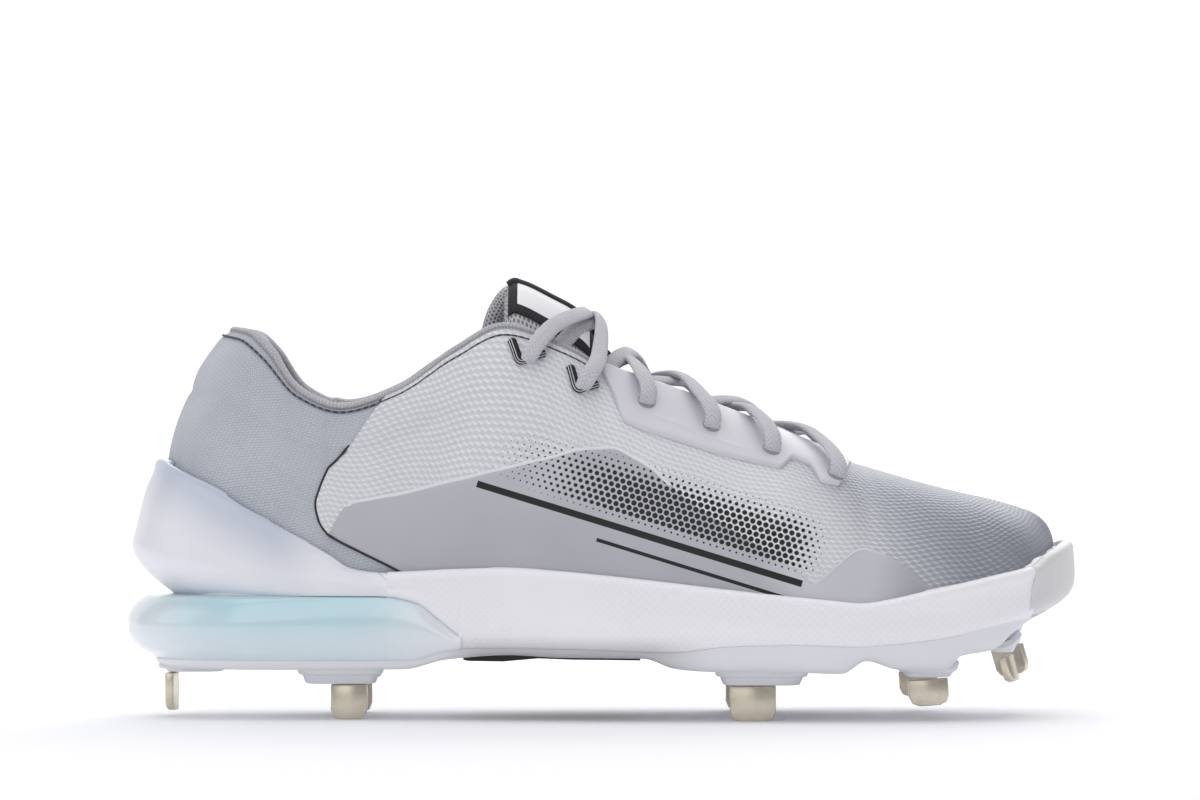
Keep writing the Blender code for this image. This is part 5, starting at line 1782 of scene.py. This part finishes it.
milky = Finish("milky_cup", colour(228, 229, 236), 0.32, coat_weight=0.35, coat_roughness=0.2)
x, _, z = milky.place()
band = milky.fade(-0.026, 0.001, z + (x + 0.135) * 0.537 - 0.083)
band = band * milky.fade(-0.085, -0.105, x)
haze = milky.noise(0.025, 2.0)
slant = x + 0.0590 + (z - 0.0367) * 1.10
seam = (1 - milky.fade(0.0, 0.0007, abs(slant))) * (z < 0.047)
cloudy = milky.blend(haze * 0.5, colour(238, 238, 244), colour(226, 228, 236))
milky.feed(
    base_color=milky.blend(
        milky.most(band * (0.85 + haze * 0.15), seam * 0.5),
        milky.blend(milky.fade(-0.008, 0.004, slant), cloudy, colour(246, 245, 249)),
        colour(186, 195, 212),
    ),
    roughness=0.30 + haze * 0.1,
)
dress(cup, milky, ["heel_cup"])


# Heel cushion
# A blown film chamber full of gas lies between the cup and the plate. It is clear and glossy, with
# a faint blue green that gathers in the middle, and whitish welds at its ends.
CUSHION_ANGLES = np.radians(np.linspace(72, -78, 19))
# How far the wall leans in between its widest line and its rims: at the front, and added behind
CUSHION_LEAN = 0.0020
CUSHION_BACK_LEAN = 0.0070

cushion_places = sole_columns()
cushion_places = cushion_places[cushion_places > CUSHION_NOSE - HIDDEN_END]


def cushion_levels(w):
    """A round wall between the cup's foot and the crease, which leans in round the heel."""
    around_heel = smoothstep(1.9, 3.0, np.abs(w))
    top = sole_height(CUSHION_TOP, w)
    low = sole_height(CREASE, w) + CLEARANCE
    over = midsole_levels(w)[-1]
    over[:, 2] = top + HIDDEN_RIM
    under = crease_ring(w)
    under[:, 2] = low
    depth = CUSHION_LEAN + CUSHION_BACK_LEAN * around_heel
    rings = [over]
    for angle in CUSHION_ANGLES:
        height = low + (top - low) * (0.53 + 0.47 * np.sin(angle))
        rings.append(inset_point(w, depth * (1 - np.cos(angle)) ** 0.9, height))
    return [*rings, under]


cushion = sole_piece("gas_cushion", across_shoe(cushion_levels, cushion_places), caps=(0,), finer=0)
film_skin = Finish("clear_film", colour(200, 222, 228), 0.12, coat_weight=0.7, coat_roughness=0.06)
x, _, z = film_skin.place()
teal = film_skin.fade(-0.154, -0.115, x) * (1 - film_skin.fade(-0.078, -0.048, x))
high = film_skin.fade(0.022, 0.036, z)
folds = film_skin.noise(0.012, 2.0)
pale = film_skin.blend(folds * 0.6, colour(226, 231, 238), colour(244, 246, 249))
film_skin.feed(
    base_color=film_skin.blend(teal * (0.30 + high * 0.50), pale, colour(178, 220, 229)),
    roughness=0.10 + folds * 0.12,
)
film_skin.raise_by(film_skin.noise(0.018, 1.0), 0.0006, 0.35)
dress(cushion, film_skin, ["heel_cushion"])


# Plate
# The outsole is one moulded plate of frosted nylon. It wraps a little way up the sides, arches
# under the waist, and carries a tapered block for each metal blade.
PLATE_LIP = 0.0010
# Down from the crease: the share of the height over its foot, and of the way in to its foot
PLATE_ROWS = (
    (0.98, 0.0),
    (0.72, 0.05),
    (0.45, 0.0),
    (0.22, 0.25),
    (0.10, 0.55),
    (0.02, 0.85),
    (0.00, 1.0),
)


def plate_levels(w):
    """Down from the crease over the shoulder to the flat of the plate."""
    place = np.abs(w)
    top = crease_ring(w)
    foot = sole_height(BOTTOM, w)
    depth = top[:, 2] - foot
    shoulder = SOLE_INSET.read("shoulder", place)
    inset = SOLE_INSET.read("foot", place)
    rings = [top]
    for level, share in PLATE_ROWS:
        way_in = shoulder + (inset - shoulder) * share - 0.0006 * (level > 0.6)
        rings.append(inset_point(w, way_in, foot + depth * level))
    lip = crease_ring(w)
    lip[:, 2] += PLATE_LIP
    lip = inset_point(w, SOLE_INSET.read("crease", place) + PLATE_LIP, lip[:, 2])
    return [lip, *rings, inset_point(w, inset + 0.004, foot)]


sections = across_shoe(plate_levels, sole_columns())
plate = sole_piece("frosted_plate", sections)

frosted = Finish("frosted_nylon", colour(232, 233, 238), 0.38, coat_weight=0.15, coat_roughness=0.3)
x, _, z = frosted.place()
cloud = frosted.noise(0.02)
grit = frosted.noise(0.0008, 2.0)
# Painted shade: the plate darkens towards its foot, on the underside that turns from the light.
low_shade = 1 - frosted.fade(0.009, 0.018, z)
frosted.feed(
    base_color=frosted.blend(
        arch_shade(frosted, x, z),
        frosted.blend(low_shade * 0.55 + cloud * 0.3, colour(236, 236, 241), colour(205, 207, 214)),
        colour(190, 190, 194),
    ),
    roughness=0.34 + grit * 0.12,
)
frosted.raise_by(grit, 0.00006, 0.5)
dress(plate, frosted, ["outsole"])

# The studs and their housings: x as a share of the length, y as a share of the local width, the
# housing's size in metres, its foot as a share of the sidewall height, then the blade's place
# along x from the housing, its width, its reach as a share of the housing's height over the
# floor, its turn about the vertical and its lean to the front in degrees
STUDS = {
    "stud_heel_back": (-0.428, 0.000, 0.0230, 0.0210, 0.300, -0.0080, 0.0120, 0.86, 90, 0),
    "stud_heel_lateral": (-0.272, -0.290, 0.0270, 0.0170, 0.238, 0.0026, 0.0114, 1.00, 0, 0),
    "stud_heel_medial": (-0.272, 0.290, 0.0270, 0.0170, 0.238, 0.0026, 0.0114, 1.00, 180, 0),
    "stud_ball_lateral": (0.165, -0.325, 0.0290, 0.0190, 0.240, -0.0026, 0.0143, 1.00, 0, 0),
    "stud_ball_medial": (0.165, 0.315, 0.0290, 0.0190, 0.240, -0.0026, 0.0143, 1.00, 180, 0),
    "stud_fore_lateral": (0.338, -0.290, 0.0190, 0.0180, 0.290, 0.0000, 0.0124, 0.62, 0, 4),
    "stud_fore_medial": (0.338, 0.300, 0.0190, 0.0180, 0.290, 0.0000, 0.0124, 0.62, 180, 4),
    "stud_toe_lateral": (0.418, -0.150, 0.0120, 0.0160, 0.440, 0.0010, 0.0110, 0.40, 75, 14),
    "stud_toe_medial": (0.428, 0.210, 0.0120, 0.0160, 0.490, 0.0010, 0.0110, 0.42, 150, 16),
}
HOUSING_ROOT = 0.0016
HOUSING_TAPER = 0.0022
# The rings of a housing: the share of the way from the plate to its foot, what is added to the
# height, and the inset from its full size
HOUSING_RINGS = (
    (0.0, HOUSING_ROOT * 1.4, 0.0008),
    (0.0, 0.0003, -0.0002),
    (0.06, 0.0, 0.0),
    (0.30, 0.0, 0.0003),
    (0.42, 0.0, HOUSING_TAPER * 0.75),
    (1.0, 0.0010, HOUSING_TAPER),
    (1.0, 0.0002, HOUSING_TAPER * 1.2),
    (1.0, 0.0, HOUSING_TAPER * 1.7),
)
# How far the plate over a housing always stays above its foot
HOUSING_LEAST = 0.0012
HOUSING_TURNS = 48

turns = np.arange(HOUSING_TURNS) * 2 * np.pi / HOUSING_TURNS
run = np.sign(np.cos(turns)) * np.abs(np.cos(turns)) ** 0.5
side = np.sign(np.sin(turns)) * np.abs(np.sin(turns)) ** 0.5
housings = []
for x, y, length, width, foot_share, *_ in STUDS.values():
    foot = foot_share * SIDEWALL_HEIGHT
    rings = []
    for fall, rise, inset in HOUSING_RINGS:
        ring_x = x * LENGTH + run * (length / 2 - inset)
        ring_y = y * local_width(x) + side * (width / 2 - inset)
        under = BOTTOM.read("height", ring_x / LENGTH) * SIDEWALL_HEIGHT
        under = np.maximum(under, foot + HOUSING_LEAST)
        height = under + (foot - under) * fall + rise
        rings.append(np.stack([ring_x, ring_y, height], axis=1))
    housings.append(rings)
housings = np.array(housings)
per_block = housings[0].size // 3
faces = []
for number in range(len(housings)):
    base_index = number * per_block
    faces += (grid_faces(housings.shape[1], HOUSING_TURNS, close_columns=True) + base_index).tolist()
    for first in (base_index, base_index + per_block - HOUSING_TURNS):
        faces.append(list(range(first, first + HOUSING_TURNS)))
blocks = piece_of("stud_blocks", housings, faces)
blocks.data.set_sharp_from_angle(angle=np.radians(35))
dress(blocks, frosted)


# Toe bumper
# A separate moulded piece of the same foam wraps the toe and is glued over the sidewall's end;
# its foam is coloured greyer than the midsole's as painted shade. Its rear edge slants and shows
# as a fine line.
BUMPER_SLANT = 0.10
BUMPER_PROUD = 0.00030


def bumper_levels(w):
    """Down its outer face, level by level as the midsole's, then up its back."""
    top = sole_height(TOP_EDGE, w)
    foot = sole_height(CREASE, w) + CLEARANCE
    lip_foot = top - LIP_BAND
    inset = sole_insets(w)
    waist = foot + (lip_foot - foot) * WAIST_SHARE
    belly = foot + (lip_foot - foot) * BELLY_SHARE
    levels = (
        (inset["edge"], top),
        (inset["lip"], top - LIP_BAND * 0.35),
        (inset["lip"], lip_foot),
        (inset["waist"], waist),
        (inset["belly"], belly),
        (inset["crease"], foot),
    )
    slant = [1 + BUMPER_SLANT * share for share in (0, 0.03, 0.15, 0.5, 0.8, 1)]
    outer = [
        inset_point(w * lean, reach - BUMPER_PROUD, height)
        for (reach, height), lean in zip(levels, slant)
    ]
    back = BUMPER_THICKNESS - CLEARANCE
    return outer + [inset_point(w, reach + back, height) for reach, height in levels[::-1]]


bumper_places = sole_columns()
bumper_places = bumper_places[bumper_places < BUMPER_END + JOINT_STEP / 2]
w = np.concatenate([-bumper_places[::-1], bumper_places[1:]])
bumper = sole_piece("toe_bumper_foam", np.stack(bumper_levels(w), axis=1), caps=(0, -1))
# Painted shade: the same white foam, given a greyer colour for the shade on the toe.
bumper_foam = foam_finish("bumper_foam", colour(221, 221, 222), colour(210, 210, 213), 0.46)
dress(bumper, bumper_foam, ["toe_bumper"])


# Arch insert and insole
# A stiff black strip braces the arch under the plate. The insole is a dark textile on foam, and
# lies loose in the shoe.
# What of the strip hangs below the plate thins between the first two places along x, to a share
# of its depth, and grows to the front from another share between the last two
BRACE_THICK = -0.0290
BRACE_THIN = -0.0275
BRACE_END = 0.35
BRACE_REAR = (-0.0445, -0.0385)
BRACE_REAR_SHARE = 0.3


def own_copy(node, name):
    """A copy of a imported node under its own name, free of the node's marks and of its parent."""
    piece = frame["nodes"][node].copy()
    piece.data = piece.data.copy()
    piece.name = name
    bpy.context.scene.collection.objects.link(piece)
    piece.parent = None
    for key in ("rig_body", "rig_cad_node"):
        if key in piece:
            del piece[key]
    return piece


def joined(piece):
    """The piece's mesh, open for changes, with its doubled points joined."""
    work = bmesh.new()
    work.from_mesh(piece.data)
    bmesh.ops.remove_doubles(work, verts=work.verts, dist=1e-6)
    return work


arch_finish = Finish("arch_black", colour(20, 18, 22), 0.45)
speck = arch_finish.noise(0.001, 2.0)
arch_finish.feed(roughness=0.4 + speck * 0.2)
liner_finish = Finish("insole_cloth", colour(150, 150, 156), 0.95)
x, y, _ = liner_finish.place()
cloth = weave(liner_finish, x, y, 0.0012)
liner_finish.feed(base_color=liner_finish.blend(cloth, colour(128, 128, 135), colour(168, 168, 175)))
liner_finish.raise_by(cloth, 0.0003, 0.6)
sock_liner = frame["nodes"]["insole"]
sock_liner.data.materials.clear()
sock_liner.data.materials.append(liner_finish.material)

brace = own_copy("arch_insert", "arch_brace")
work = joined(brace)
work.to_mesh(brace.data)
work.free()
spots = np.empty(len(brace.data.vertices) * 3)
brace.data.vertices.foreach_get("co", spots)
spots = spots.reshape(-1, 3)
plate_foot = BOTTOM.read("height", spots[:, 0] / LENGTH) * SIDEWALL_HEIGHT
hang = np.minimum(spots[:, 2] - plate_foot, 0)
kept = BRACE_END + (1 - BRACE_END) * (1 - smoothstep(BRACE_THICK, BRACE_THIN, spots[:, 0]))
front = smoothstep(*BRACE_REAR, spots[:, 0])
kept = kept * (BRACE_REAR_SHARE + (1 - BRACE_REAR_SHARE) * front)
spots[:, 2] -= hang * (1 - kept)
brace.data.vertices.foreach_set("co", spots.ravel())
brace.data.update()
brace.data.set_sharp_from_angle(angle=np.radians(30))
dress(brace, arch_finish, ["arch_insert"])


# Studs
# Each stud is a blade of steel with a warm nickel plate, bent a little along its middle and pressed
# into its block. Use has rounded and faintly scratched the faces near the ground.
BRUSH_LINES = 2600.0
BLADE_ROUNDING = 0.0004

nickel = Finish("warm_nickel", colour(226, 218, 200), 0.26, metallic=1.0)
x, y, z = nickel.place()
brushed = nickel.noise(1 / BRUSH_LINES, 2.0, nickel.vector(x * 0.15, y * 0.15, z))
worn = nickel.noise(0.004)
low_end = 1 - nickel.fade(0.0, 0.006, z)
nickel.feed(
    base_color=nickel.blend(worn, colour(208, 198, 178), colour(234, 226, 210)),
    roughness=0.24 + brushed * 0.10 + low_end * 0.10,
)
nickel.raise_by(brushed, 0.000004, 0.2)
for name in STUDS:
    blade = own_copy(name, name.replace("stud", "blade"))
    work = joined(blade)
    bmesh.ops.dissolve_limit(work, angle_limit=0.02, verts=work.verts, edges=work.edges)
    sharp = [edge for edge in work.edges if edge.calc_face_angle(0) > 0.9]
    bmesh.ops.bevel(
        work, geom=sharp, offset=BLADE_ROUNDING, segments=3, affect="EDGES", profile=0.5
    )
    work.to_mesh(blade.data)
    work.free()
    blade.data.shade_smooth()
    blade.data.set_sharp_from_angle(angle=np.radians(30))
    dress(blade, nickel, [name])
